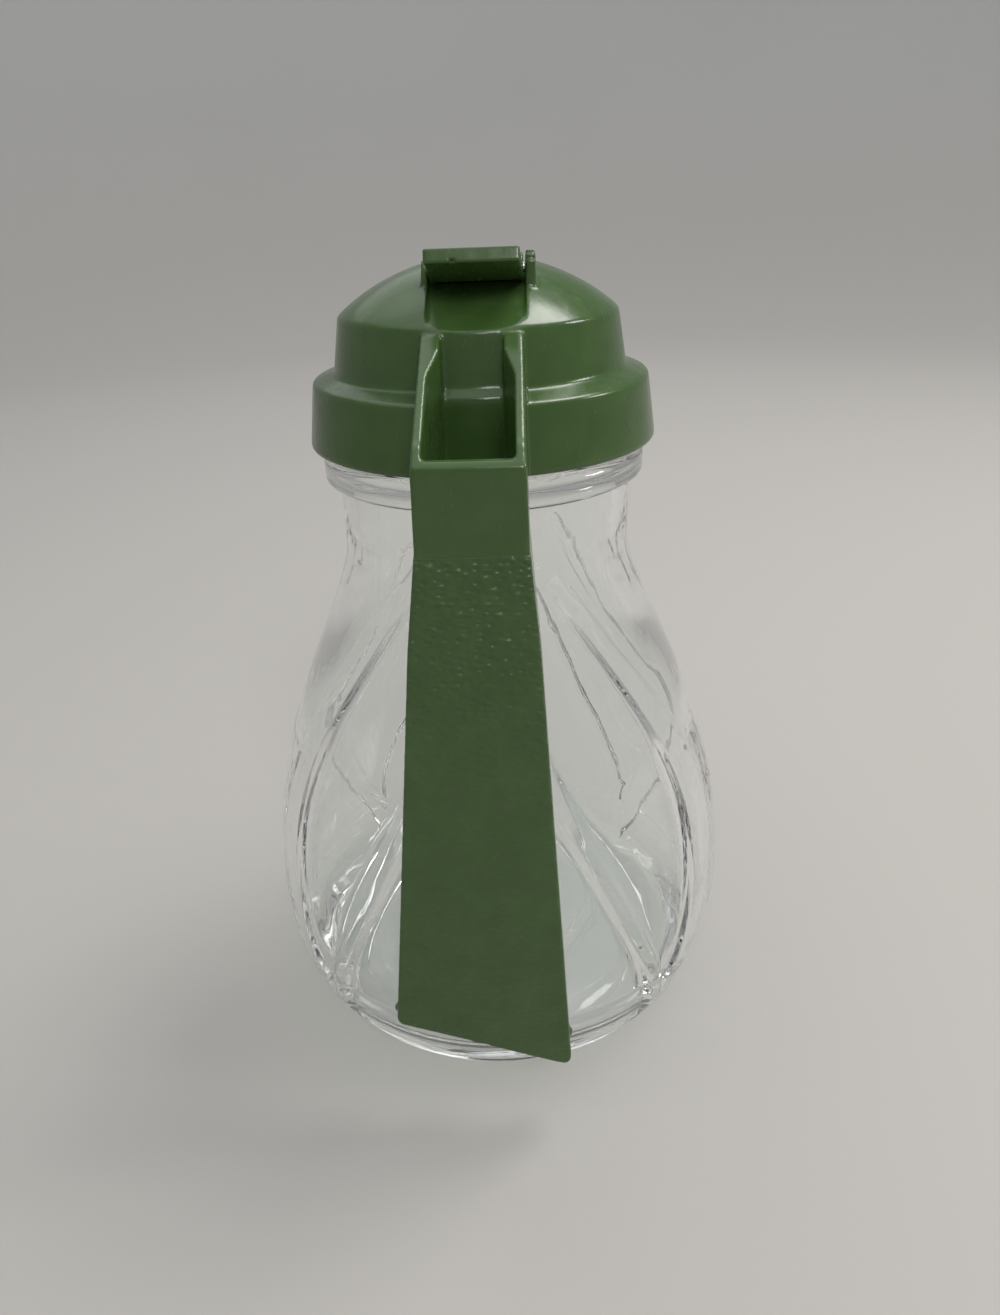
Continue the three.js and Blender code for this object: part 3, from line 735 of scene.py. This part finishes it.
domeRadius = (cap["rimRadius"] ** 2 + cap["domeRise"] ** 2) / (2 * cap["domeRise"])
domeCentre = cap["rimHeight"] + cap["domeRise"] - domeRadius
seatRadius = domeRadius - cap["seatDepth"]


def domeHeight(radius, out):
    return domeCentre + sqrt(max(radius * radius - out * out, 0))


def domeArc(radius, start, end, steps=24):
    outs = [start + (end - start) * step / steps for step in range(steps + 1)]
    return [(out, domeHeight(radius, out)) for out in outs]


def capShell():
    rim, drum, thick = cap["rimRadius"], cap["drumRadius"], cap["drumWall"]
    skirt, bottom, wall = cap["skirtRadius"], cap["skirtBottom"], cap["skirtWall"]
    inner, outer, low = cap["collarInner"], cap["collarOuter"], cap["collarBottom"]
    groove, innerRim = cap["skirtTop"] - wall, rim - thick
    outside = [(skirt - wall, bottom), (skirt, bottom), (cap["skirtTopRadius"], cap["skirtTop"]),
               (drum, cap["shoulder"]), (rim, cap["rimHeight"])]
    arcs = domeArc(domeRadius, rim - cap["domeStart"], 0)
    arcs += domeArc(domeRadius - cap["domeWall"], 0, innerRim)
    inside = [(innerRim, cap["rimHeight"] - thick), (drum - thick, cap["seat"]),
              (inner, cap["seat"]), (inner, low), (outer, low),
              (outer, groove), (cap["skirtTopRadius"] - wall, groove)]
    rounds = (*cap["rounds"], *[0] * len(arcs), *cap["innerRounds"])
    corners = [(*place, size) for place, size in zip(outside + arcs + inside, rounds)]
    return turned(rounded(corners), fineSteps, "capAndHandle")


def seatPad():
    reach = cap["rimRadius"] - cap["drumWall"] / 2
    outline = domeArc(seatRadius - cap["seatFloor"], 0, reach)
    outline += domeArc(domeRadius - margin, reach, 0)
    half, far = hinge["seatHalf"] + cap["padMargin"], cap["padReach"]
    x = hinge["centre"][0]
    plan = [(x - half, -far), (x + half, -far), (x + half, far), (x - half, far)]
    return combine(turned(outline, fineSteps), slab(plan, 0, cap["above"], "z"), "INTERSECT")


def seatCut():
    x, y, z = hinge["centre"]
    half = hinge["seatHalf"]
    front, top = cap["rimRadius"] + cap["spoutReach"], z + hinge["seatOpen"]
    outline = domeArc(seatRadius, y, front, 60) + [(front, top), (y, top)]
    trough = rodAcross(hinge["troughRadius"], half * 2, hinge["centre"])
    return combine(slab(outline, x - half, x + half, "x"), trough)


def tabRecess():
    x, y, z = hinge["centre"]
    slope = radians(hinge["pressedSlope"])
    trough, half, top = hinge["troughRadius"], hinge["seatHalf"], z + hinge["seatOpen"]
    start = (y + trough * sin(slope), z - trough * cos(slope))
    end = -cap["rimRadius"] - margin
    endHeight = start[1] - (start[0] - end) * tan(slope)
    outline = [(end, endHeight), start, (start[0], top), (end, top)]
    return slab(outline, x - half, x + half, "x")


def pourSpout():
    rim = cap["rimRadius"]
    start, tip = rim - cap["drumWall"] / 2, rim + cap["spoutReach"]
    tipTop = domeHeight(seatRadius, tip)
    under = tipTop - cap["spoutDepth"]
    side = [(start, domeHeight(seatRadius, start)), (rim, domeHeight(seatRadius, rim)),
            (tip, tipTop), (tip, tipTop - cap["spoutTip"]), (rim, under), (start, under)]
    half, corner = cap["spoutWidth"] / 2, cap["spoutCorner"]
    plan = rounded([(-half, 0, 0), (half, 0, 0), (half, tip, corner), (-half, tip, corner)], 8)
    column = slab(plan, cap["spoutBelow"], cap["above"], "z")
    return combine(slab(side, -half, half, "x"), column, "INTERSECT")


def hingeEar(side):
    x, y, z = hinge["centre"]
    thickness = cap["earThickness"][side]
    middle = x + side * (hinge["seatHalf"] + thickness / 2)
    half, top = cap["earWidth"] / 2, cap["earTopRadius"][side]
    foot, steps = cap["rimHeight"] + margin, 24
    outline = [(y - half, foot), (y + half, foot)]
    along, *spot = cap["flashSpot"]
    for step in range(steps + 1):
        out = top + cap["earFlash"][side] * max(noise.noise(Vector((step * along, *spot))), 0)
        angle = pi * step / steps
        outline.append((y + out * cos(angle), z + out * sin(angle)))
    ear = slab(outline, middle - thickness / 2, middle + thickness / 2, "x")
    # the ear stops just inside the dome
    low, wide, start = cap["earBall"]
    ball = [(0, low), (wide, low)] + domeArc(domeRadius - margin, start, 0, 40)
    return combine(ear, turned(ball, 200), "DIFFERENCE")


def handleSpan(height):
    # half the width of the handle at a height, and where its middle is
    h = handle
    top, grip, flare, foot = cap["rimHeight"], h["gripTop"], h["flare"], h["foot"]
    topHalf, gripHalf, flareHalf = h["topHalf"], h["gripTopHalf"], h["flareHalf"]
    half = topHalf + (gripHalf - topHalf) * (top - height) / (top - grip)
    if height < grip:
        half = gripHalf + (flareHalf - gripHalf) * (grip - height) / (grip - flare)
    if height < flare:
        half = flareHalf + (h["footHalf"] - flareHalf) * (flare - height) / (flare - foot)
    return half, -h["lean"] * (max(0, grip - height) / (grip - foot))


def plateReach(height):
    h = handle
    share = (h["plateTop"] - height) / (h["plateTop"] - h["foot"])
    return h["topReach"] + (h["footReach"] - h["topReach"]) * share


def handleEdges(inset, drop):
    # the left and right edges of the front outline, each from the top down
    h = handle
    edges, top = [], cap["rimHeight"] - h["topDrop"]
    for sign in (-1, 1):
        foot = h["foot"] - sign * h["footSlant"] / 2 - drop
        line = []
        for height, radius in ((top, 0), (h["gripTop"], h["gripRound"]),
                               (h["flare"], h["flareRound"]), (foot, 0)):
            half, middle = handleSpan(height)
            line.append((middle + sign * (half - inset), height, radius))
        edges.append(line)
    return edges


def handleFront():
    left, right = handleEdges(0, 0)
    leftFoot, rightFoot = left.pop(), right.pop()
    corner = handle["footCorner"]
    return rounded(left + [(*leftFoot[:2], corner), (*rightFoot[:2], corner)] + right[::-1], 8)


def handleSide():
    # outline of the ribs, the plate and the side walls, seen from the side
    h = handle
    top, low = cap["rimHeight"] - h["topDrop"], h["foot"] - h["footSlant"] - margin
    middle = (h["flare"] + h["foot"]) / 2
    drumRoot = cap["rimRadius"] - cap["drumWall"] / 2
    skirtRoot = cap["skirtRadius"] - cap["skirtWall"] / 2
    collarRoot = cap["collarOuter"] - h["rootInset"]
    bridge, end = h["bridgeReach"], h["bendEnd"]
    bend = rounded([(-bridge + h["bridgeRun"], h["bridgeTop"] + h["bridgeRise"], 0),
                    (-bridge, h["bridgeTop"], h["bridgeRound"]),
                    (-h["topReach"], h["bendTop"], h["bendRound"]),
                    (-plateReach(end), end, 0)], 9)[1:-1]
    innerTop = plateReach(h["flare"]) - h["flangeTop"]
    web = curve((-innerTop, h["flare"]), (-innerTop + h["webLean"], h["flare"] + h["webRise"]),
                (-skirtRoot - h["webReach"], cap["skirtBottom"] - h["webReach"]),
                (-skirtRoot, cap["skirtBottom"]), 14)
    innerFoot = -plateReach(low) + h["flangeFoot"]
    innerMiddle = -plateReach(middle) + h["flangeMiddle"]
    bow = [(start + out, height + rise) for start, height, (out, rise)
           in zip((innerFoot, innerMiddle, innerMiddle), (low, middle, middle), h["flangeBow"])]
    inner = [(innerFoot, low)] + curve(*bow, (-innerTop, h["flare"]), 14)
    return [(-drumRoot, top), (-cap["rimRadius"], top), *bend, (-plateReach(low), low),
            *inner, *web, (-skirtRoot, cap["skirtBottom"]), (-collarRoot, cap["collarBottom"]),
            (-collarRoot, cap["skirtTop"] - h["rootInset"]), (-drumRoot, cap["shoulder"])]


def handleBlock():
    side = slab(handleSide(), -handle["blockHalf"], handle["blockHalf"], "x")
    front = slab(handleFront(), -handle["clearReach"], 0, "y")
    return softenEdges(combine(side, front, "INTERSECT"), handle["edge"])


def footNubs():
    # moulding marks at the corners and in the middle of the slanted foot
    h = handle
    nubs = []
    for side in (-1, 1):
        height = h["foot"] - side * h["footSlant"] / 2 + h["nubRise"][side]
        half, middle = handleSpan(height)
        across = middle + side * (half - h["nubInset"])
        nubs.append((across, h["nubDepth"] - plateReach(height), height))
    across, depth, rise = h["middleNub"]
    height = h["foot"] + rise
    nubs.append((handleSpan(height)[1] + across, depth - plateReach(height), height))
    return [rodAcross(h["nubRadius"], h["nubLength"], place, 16) for place in nubs]


def handleHollow():
    # the channel behind the plate and the pocket between the ribs
    h = handle
    low, top, far, half = h["hollowLow"], cap["rimHeight"], h["clearReach"], h["clearHalf"]
    behind = [(0, top), (-plateReach(top) + h["plate"], top),
              (-plateReach(low) + h["plate"], low), (0, low)]
    lip = [(0, h["plateLip"]), (-far, h["plateLip"]), (-far, top), (0, top)]
    space = combine(slab(behind, -half, half, "x"), slab(lip, -half, half, "x"))
    left, right = handleEdges(h["flange"], h["hollowDrop"])
    combine(space, slab(rounded(left + right[::-1], 6), -far, 0, "y"), "INTERSECT")
    inner, back = h["gripTopHalf"] - h["flange"], h["backHalf"]
    (wide, front), (frontRound, middleRound) = h["pocketOpen"], h["pocketRounds"]
    drum = cap["drumRadius"] - cap["drumWall"]
    right = [(wide, -front, 0), (wide, -h["bridgeReach"], 0),
             (inner, -h["bridgeReach"], frontRound), (inner, -h["pocketReach"], middleRound),
             (back, -cap["collarOuter"], 0), (back, -drum, 0)]
    left = [(-x, y, r) for x, y, r in right][::-1]
    pocket = slab(rounded(right + left, 6), h["gripTop"], h["pocketTop"], "z")
    plan = [(-half, -front), (half, -front), (half, 0), (-half, 0)]
    combine(pocket, slab(plan, h["hollowFoot"], h["gripTop"], "z"))
    combine(space, pocket, "INTERSECT")
    # the cap's own wall stays
    (low, lowRound), (high, highRound) = h["coreBend"]
    core = [(0, h["coreLow"], 0), (cap["collarOuter"], h["coreLow"], 0),
            (cap["collarOuter"], cap["shoulder"] + low, lowRound),
            (cap["drumRadius"], cap["shoulder"] + high, highRound),
            (cap["rimRadius"], h["pocketTop"], 0), (0, h["pocketTop"], 0)]
    return combine(space, turned(rounded(core), fineSteps), "DIFFERENCE")


def hingeBore():
    return rodAcross(hinge["boreRadius"], hinge["boreLength"], hinge["centre"])


def capThread():
    # ridge inside the collar, half a pitch above the jar's own thread
    pitch, steps = jar["threadPitch"], cap["threadSteps"]
    root = cap["collarInner"] + cap["threadRoot"]
    bottom = jar["lipHeight"] - jar["threadDrop"] - pitch * (jar["threadTurns"] - 0.5)
    points, faces = [], []
    for step in range(steps + 1):
        if step:
            faces += band(range(4 * step - 4, 4 * step), range(4 * step, 4 * step + 4))
        gone = cap["threadTurns"] * step / steps
        angle = fullTurn * gone
        fade = min(min(step, steps - step) / cap["threadFade"], 1)
        crest = root - cap["threadHeight"] * max(fade, 0.05)
        for radius, rise in ((root, -cap["threadBase"]), (crest, -cap["threadCrest"]),
                             (crest, cap["threadCrest"]), (root, cap["threadBase"])):
            height = bottom + pitch * gone + rise
            points.append((radius * cos(angle), radius * sin(angle), height))
    faces += [(0, 1, 2, 3), (4 * steps + 3, 4 * steps + 2, 4 * steps + 1, 4 * steps)]
    return meshPiece("capThread", points, faces)


def makeCap():
    piece = combine(capShell(), handleBlock())
    combine(piece, handleHollow(), "DIFFERENCE")
    for extra in (seatPad(), pourSpout(), hingeEar(-1), hingeEar(1), *footNubs()):
        combine(piece, extra)
    for space in (seatCut(), tabRecess()):
        combine(piece, space, "DIFFERENCE")
    hole = circle((0, cap["holeCentre"]), cap["holeRadius"], 48)
    combine(piece, slab(hole, cap["holeLow"], cap["above"], "z"), "DIFFERENCE")
    combine(piece, hingeBore(), "DIFFERENCE")
    combine(piece, capThread())
    return moulded(piece, cap)


# flap, hub and thumb tab, one moulding
flap = {
    "width": 15.4,
    "hubRadius": 2,
    "tabLength": 10.9,
    "tabThickness": 1.8,
    "tabTilt": 22.3,  # degrees
    "tipWidth": 15,
    "tipShift": 0.35,
    "tipDrop": 0.5,  # extra thickness at the tab's tip
    "edge": 0.22,
    "notchAt": -2.6,
    "notchHalf": 0.5,
    "notch": [(-1, -1), (0.7, -1), (0.5, 0.45), (-1, 0.45)],  # from the tip's lower edge, in and up
    "rootInset": 0.9,
    "thickness": 1.5,
    "gap": 0.3,
    "front": 21.6,
    "corner": 3,
    "columnLow": 120,  # heights of the columns that trim the plate and the tab
    "tabLow": 130,
    "columnTop": 170,
    "clearHalf": 20,
    "cell": 0.17,
    "smoothing": 3,
    "mostFaces": 60000,
}


def makeFlap():
    x, y, z = hinge["centre"]
    half, root, front = flap["width"] / 2, y + flap["rootInset"], flap["front"]
    hub = rodAcross(flap["hubRadius"], flap["width"], hinge["centre"], 64, "pourFlap")
    # the plate lies over the pour hole and follows the dome
    under, corner = seatRadius + flap["gap"], flap["corner"]
    outline = domeArc(under, root, front, 50) + domeArc(under + flap["thickness"], front, root, 50)
    plan = [(x - half, y, 0), (x + half, y, 0),
            (x + half, front, corner), (x - half, front, corner)]
    column = slab(rounded(plan, 10), flap["columnLow"], flap["columnTop"], "z")
    plate = combine(slab(outline, x - half, x + half, "x"), column, "INTERSECT")
    # the thumb tab rises behind the hinge
    tilt = radians(flap["tabTilt"])

    def place(out, rise):
        return (y - out * cos(tilt) + rise * sin(tilt), z + out * sin(tilt) + rise * cos(tilt))

    low, length = -flap["hubRadius"], flap["tabLength"]
    top = flap["tabThickness"] - flap["hubRadius"]
    side = [place(0, low), place(0, top), place(length, top), place(length, low - flap["tipDrop"])]
    shift, tip, end = flap["tipShift"], flap["tipWidth"] / 2, side[3][0]
    tabPlan = [(shift - tip, end), (shift + tip, end), (x + half, y), (x - half, y)]
    column = slab(tabPlan, flap["tabLow"], flap["columnTop"], "z")
    tab = slab(side, -flap["clearHalf"], flap["clearHalf"], "x")
    combine(tab, column, "INTERSECT")
    softenEdges(tab, flap["edge"], 2)
    notch = [(side[3][0] + out, side[3][1] + rise) for out, rise in flap["notch"]]
    at, wide = flap["notchAt"], flap["notchHalf"]
    combine(tab, slab(notch, at - wide, at + wide, "x"), "DIFFERENCE")
    combine(hub, plate)
    combine(hub, tab)
    combine(hub, hingeBore(), "DIFFERENCE")
    return moulded(hub, flap)


def greenMaterial():
    material, tree, shader, place = newMaterial("greenPlastic")
    split = newNode(tree, "SeparateXYZ", {"Vector": place})
    # the pebbled grip covers the plate's outer face below a line
    h = handle
    slope = (h["footReach"] - h["topReach"]) / (h["plateTop"] - h["foot"])
    depth = mathNode(tree, "MULTIPLY_ADD", split.outputs["Z"], slope, 0.0)
    behind = mathNode(tree, "SUBTRACT", split.outputs["Y"], depth)
    front = -(h["topReach"] + slope * h["plateTop"]) * mm
    onFace = ranged(tree, behind, *(front + inward * mm for inward in h["gripEdge"]))
    below = ranged(tree, split.outputs["Z"], *(height * mm for height in h["gripLine"]))
    grip = mathNode(tree, "MULTIPLY", onFace, below)

    mottle = noiseNode(tree, place, h["mottleScale"], detail=5, roughness=0.62, distortion=0.4)
    shade = colourBetween(tree, mottle, h["greens"])
    wear = stretched(tree, place, (1, 1, 0.3))
    wear = noiseNode(tree, wear, h["wearScale"], detail=5, roughness=0.7)
    plain = ranged(tree, wear, 0.35, 0.75, *h["plainRoughness"])
    rough = mathNode(tree, "MULTIPLY_ADD", grip, h["gripRoughness"], plain)

    # the pebbles are longer than they are high, and a little bent
    bent = newNode(tree, "VectorMath", {})
    bent.operation = "MULTIPLY_ADD"
    fill(tree, bent, {0: noiseNode(tree, place, h["bendScale"], detail=2, output="Color"),
                      1: h["pebbleBend"], 2: stretched(tree, place, (0.7, 0.15, 1.2))})
    pebbles = newNode(tree, "TexVoronoi", {})
    pebbles.feature = "SMOOTH_F1"
    fill(tree, pebbles, {"Vector": bent.outputs["Vector"], "Scale": h["pebbles"],
                         "Smoothness": 0.6})
    clearer = (height * mm for height in h["gripClear"])
    clearer = ranged(tree, split.outputs["Z"], *clearer, 0.4, 1.0)
    onGrip = mathNode(tree, "MULTIPLY", pebbles.outputs["Distance"], grip)
    pebbleHeight = mathNode(tree, "MULTIPLY", onGrip, clearer)
    skin = bumpNode(tree, noiseNode(tree, place, h["skinScale"]), h["skinDepth"])
    edge = bumpNode(tree, grip, h["gripStep"], skin)
    fill(tree, shader, {"Base Color": shade, "Roughness": rough, "Specular IOR Level": 0.5,
                        "Normal": bumpNode(tree, pebbleHeight, h["pebbleHeight"], edge)})
    return material


# steel hinge pin and seal ring
pin = {
    "radius": 0.8,
    "left": -8.5,
    "right": 10.4,
    "chamfer": 0.2,
    "chamferCut": 0.3,  # of it, at its middle point
    "greys": [(0.3, (0.52, 0.53, 0.55)), (0.7, (0.68, 0.69, 0.71))],
    "roughness": (0.22, 0.38),
    "grainScale": 5200,  # in a metre
    "grainDepth": 0.000004,  # metres
}
seal = {
    "inner": 22.7,
    "outer": 26.1,
    "bottom": 128.4,
    "top": 129.9,
    "corner": 0.35,
    "greys": [(0.3, (0.55, 0.53, 0.47)), (0.7, (0.66, 0.64, 0.58))],
    "roughness": (0.55, 0.75),
    "grainScale": 700,
    "grainDepth": 0.00003,  # metres
}


def makePin():
    radius, half, chamfer = pin["radius"], (pin["right"] - pin["left"]) / 2, pin["chamfer"]
    cut = chamfer * pin["chamferCut"]
    end = [(radius, half - chamfer), (radius - cut, half - cut),
           (radius - chamfer, half), (0, half)]
    line = [(r, -z) for r, z in end[::-1]]
    line += [(radius, -half * 0.5), (radius, 0), (radius, half * 0.5), *end]
    piece = turned(line, 40, "hingePin")
    piece.data.transform(Matrix.Rotation(quarter, 4, "Y"))
    centre = Vector(((pin["left"] + pin["right"]) / 2, *hinge["centre"][1:]))
    piece.data.transform(Matrix.Translation(centre * mm))
    return smoothShading(piece)


def makeSeal():
    inner, outer, low, top = (seal[name] for name in ("inner", "outer", "bottom", "top"))
    section = [(inner, low), (outer, low), (outer, top), (inner, top)]
    section = rounded([(*point, seal["corner"]) for point in section], 4)
    return smoothShading(turned(section, 160, "rimSeal"))


def grained(tree, shader, grain, look):
    # a fine grain in the colour, the gloss and the surface
    fill(tree, shader, {"Base Color": colourBetween(tree, grain, look["greys"]),
                        "Roughness": ranged(tree, grain, 0.3, 0.7, *look["roughness"]),
                        "Normal": bumpNode(tree, grain, look["grainDepth"])})


def steelMaterial():
    material, tree, shader, place = newMaterial("pinSteel")
    fill(tree, shader, {"Metallic": 1})
    grain = stretched(tree, place, (0.08, 1, 1))
    grained(tree, shader, noiseNode(tree, grain, pin["grainScale"], roughness=0.6), pin)
    return material


def sealMaterial():
    material, tree, shader, place = newMaterial("sealRubber")
    grain = noiseNode(tree, place, seal["grainScale"], detail=4, roughness=0.6)
    grained(tree, shader, grain, seal)
    return material


def dress(piece, material, body, node):
    piece.data.materials.clear()
    piece.data.materials.append(material)
    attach(piece, body)
    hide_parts(node)


green = greenMaterial()
dress(makeJar(), glassMaterial(), "jar", "glass_jar")
dress(makeCap(), green, "cap", "cap_handle")
dress(makeFlap(), green, "flap", "pour_flap")
dress(makePin(), steelMaterial(), "cap", "hinge_pin")
dress(makeSeal(), sealMaterial(), "seal", "rim_seal")
print("pieces made")

# floor, lamps and world, in metres
studio = {
    "floorRadius": 0.9,
    "wallRadius": 1.5,
    "wallHeight": 1.1,
    "floorColour": (0.42, 0.405, 0.385),
    # the wall's colour is its own pale tone plus painted light, so it shows lighter than the floor
    "wallColourWithPaintedLight": (0.60, 0.605, 0.61),
    "wallStart": 0.5,  # height where the floor takes the wall's colour, lightened with painted light
    "unevenness": 0.03,
    "patches": 6,  # of it in a metre
    "roughness": 0.7,
    "gloss": 0.2,
    "lowSky": (0.14, 0.143, 0.145),
    "highSky": (1.05, 1.08, 1.09),
    "skyFrom": 0.55,  # sine of the height where the sky starts to brighten
    "skyTo": 0.95,
    "aim": (0, 0, 0.08),
    "lamps": {  # place, size, watts, colour
        "key": ((0.40, 0.22, 0.95), 0.45, 4.2, (1.0, 0.97, 0.94)),
        "side": ((0.90, 0.05, 0.64), 0.26, 2.7, (1.0, 0.97, 0.95)),
        "front": ((0.24, -0.85, 0.86), 0.40, 3.8, (1.0, 0.98, 0.96)),
        "behind": ((-0.20, 0.75, 0.85), 1.00, 1.3, (0.96, 0.98, 1.0)),
    },
}


def makeFloor():
    # a pale floor that curves up into a low wall all round; the wall is painted lighter than the
    # floor, as painted light where the lamps reach it less
    edge, steps = studio["floorRadius"], 96
    rise = studio["wallRadius"] - edge
    line = [(edge, 0)]
    line += [(edge + rise * sin(a), rise - rise * cos(a))
             for a in (quarter * step / 16 for step in range(1, 17))]
    line.append((studio["wallRadius"], studio["wallHeight"]))
    points, faces = [], [tuple(range(steps))]
    for radius, height in line:
        points += [(x, y, height / mm) for x, y in circle((0, 0), radius / mm, steps)]
    for row in range(steps, len(line) * steps, steps):
        faces += band(range(row - steps, row), range(row, row + steps))
    floor = smoothShading(meshPiece("studioFloor", points, faces))
    floor.data.polygons[0].use_smooth = False
    material, tree, shader, place = newMaterial("paleFloor")
    split = newNode(tree, "SeparateXYZ", {"Vector": place})
    uneven = noiseNode(tree, place, studio["patches"])
    height = mathNode(tree, "MULTIPLY_ADD", uneven, studio["unevenness"], split.outputs["Z"])
    # the colour lightens from the floor up the wall: painted light standing in for the weaker lamp
    # light there
    share = ranged(tree, height, 0.0, studio["wallStart"])
    colour = colourBetween(tree, share, [(0, studio["floorColour"]), (1, studio["wallColourWithPaintedLight"])])
    fill(tree, shader, {"Base Color": colour, "Roughness": studio["roughness"],
                        "Specular IOR Level": studio["gloss"]})
    floor.data.materials.append(material)


def areaLamp(name, place, size, power, colour):
    data = bpy.data.lights.new(name, "AREA")
    data.shape, data.size, data.energy, data.color = "DISK", size, power, colour
    lamp = newObject(name, data)
    lamp.location = place
    towards = Vector(studio["aim"]) - Vector(place)
    lamp.rotation_euler = towards.to_track_quat("-Z", "Y").to_euler()


def makeSky():
    # soft light that brightens towards the ceiling
    world = bpy.data.worlds.new("studioSky")
    scene.world = world
    world.use_nodes = True
    tree = world.node_tree
    place = newNode(tree, "TexCoord", {}).outputs["Generated"]
    split = newNode(tree, "SeparateXYZ", {"Vector": place})
    height = ranged(tree, split.outputs["Z"], studio["skyFrom"], studio["skyTo"])
    colour = colourBetween(tree, height, [(0, studio["lowSky"]), (1, studio["highSky"])])
    fill(tree, tree.nodes["Background"], {"Color": colour})


makeFloor()
makeSky()
for lampName, (lampPlace, size, power, colour) in studio["lamps"].items():
    areaLamp(lampName + "Lamp", lampPlace, size, power, colour)
scene.view_settings.view_transform = "Standard"
# light bounces many times inside the thick glass
cycles = scene.cycles
cycles.max_bounces, cycles.transmission_bounces = 32, 28
cycles.glossy_bounces, cycles.transparent_max_bounces = 24, 24
print("studio made")
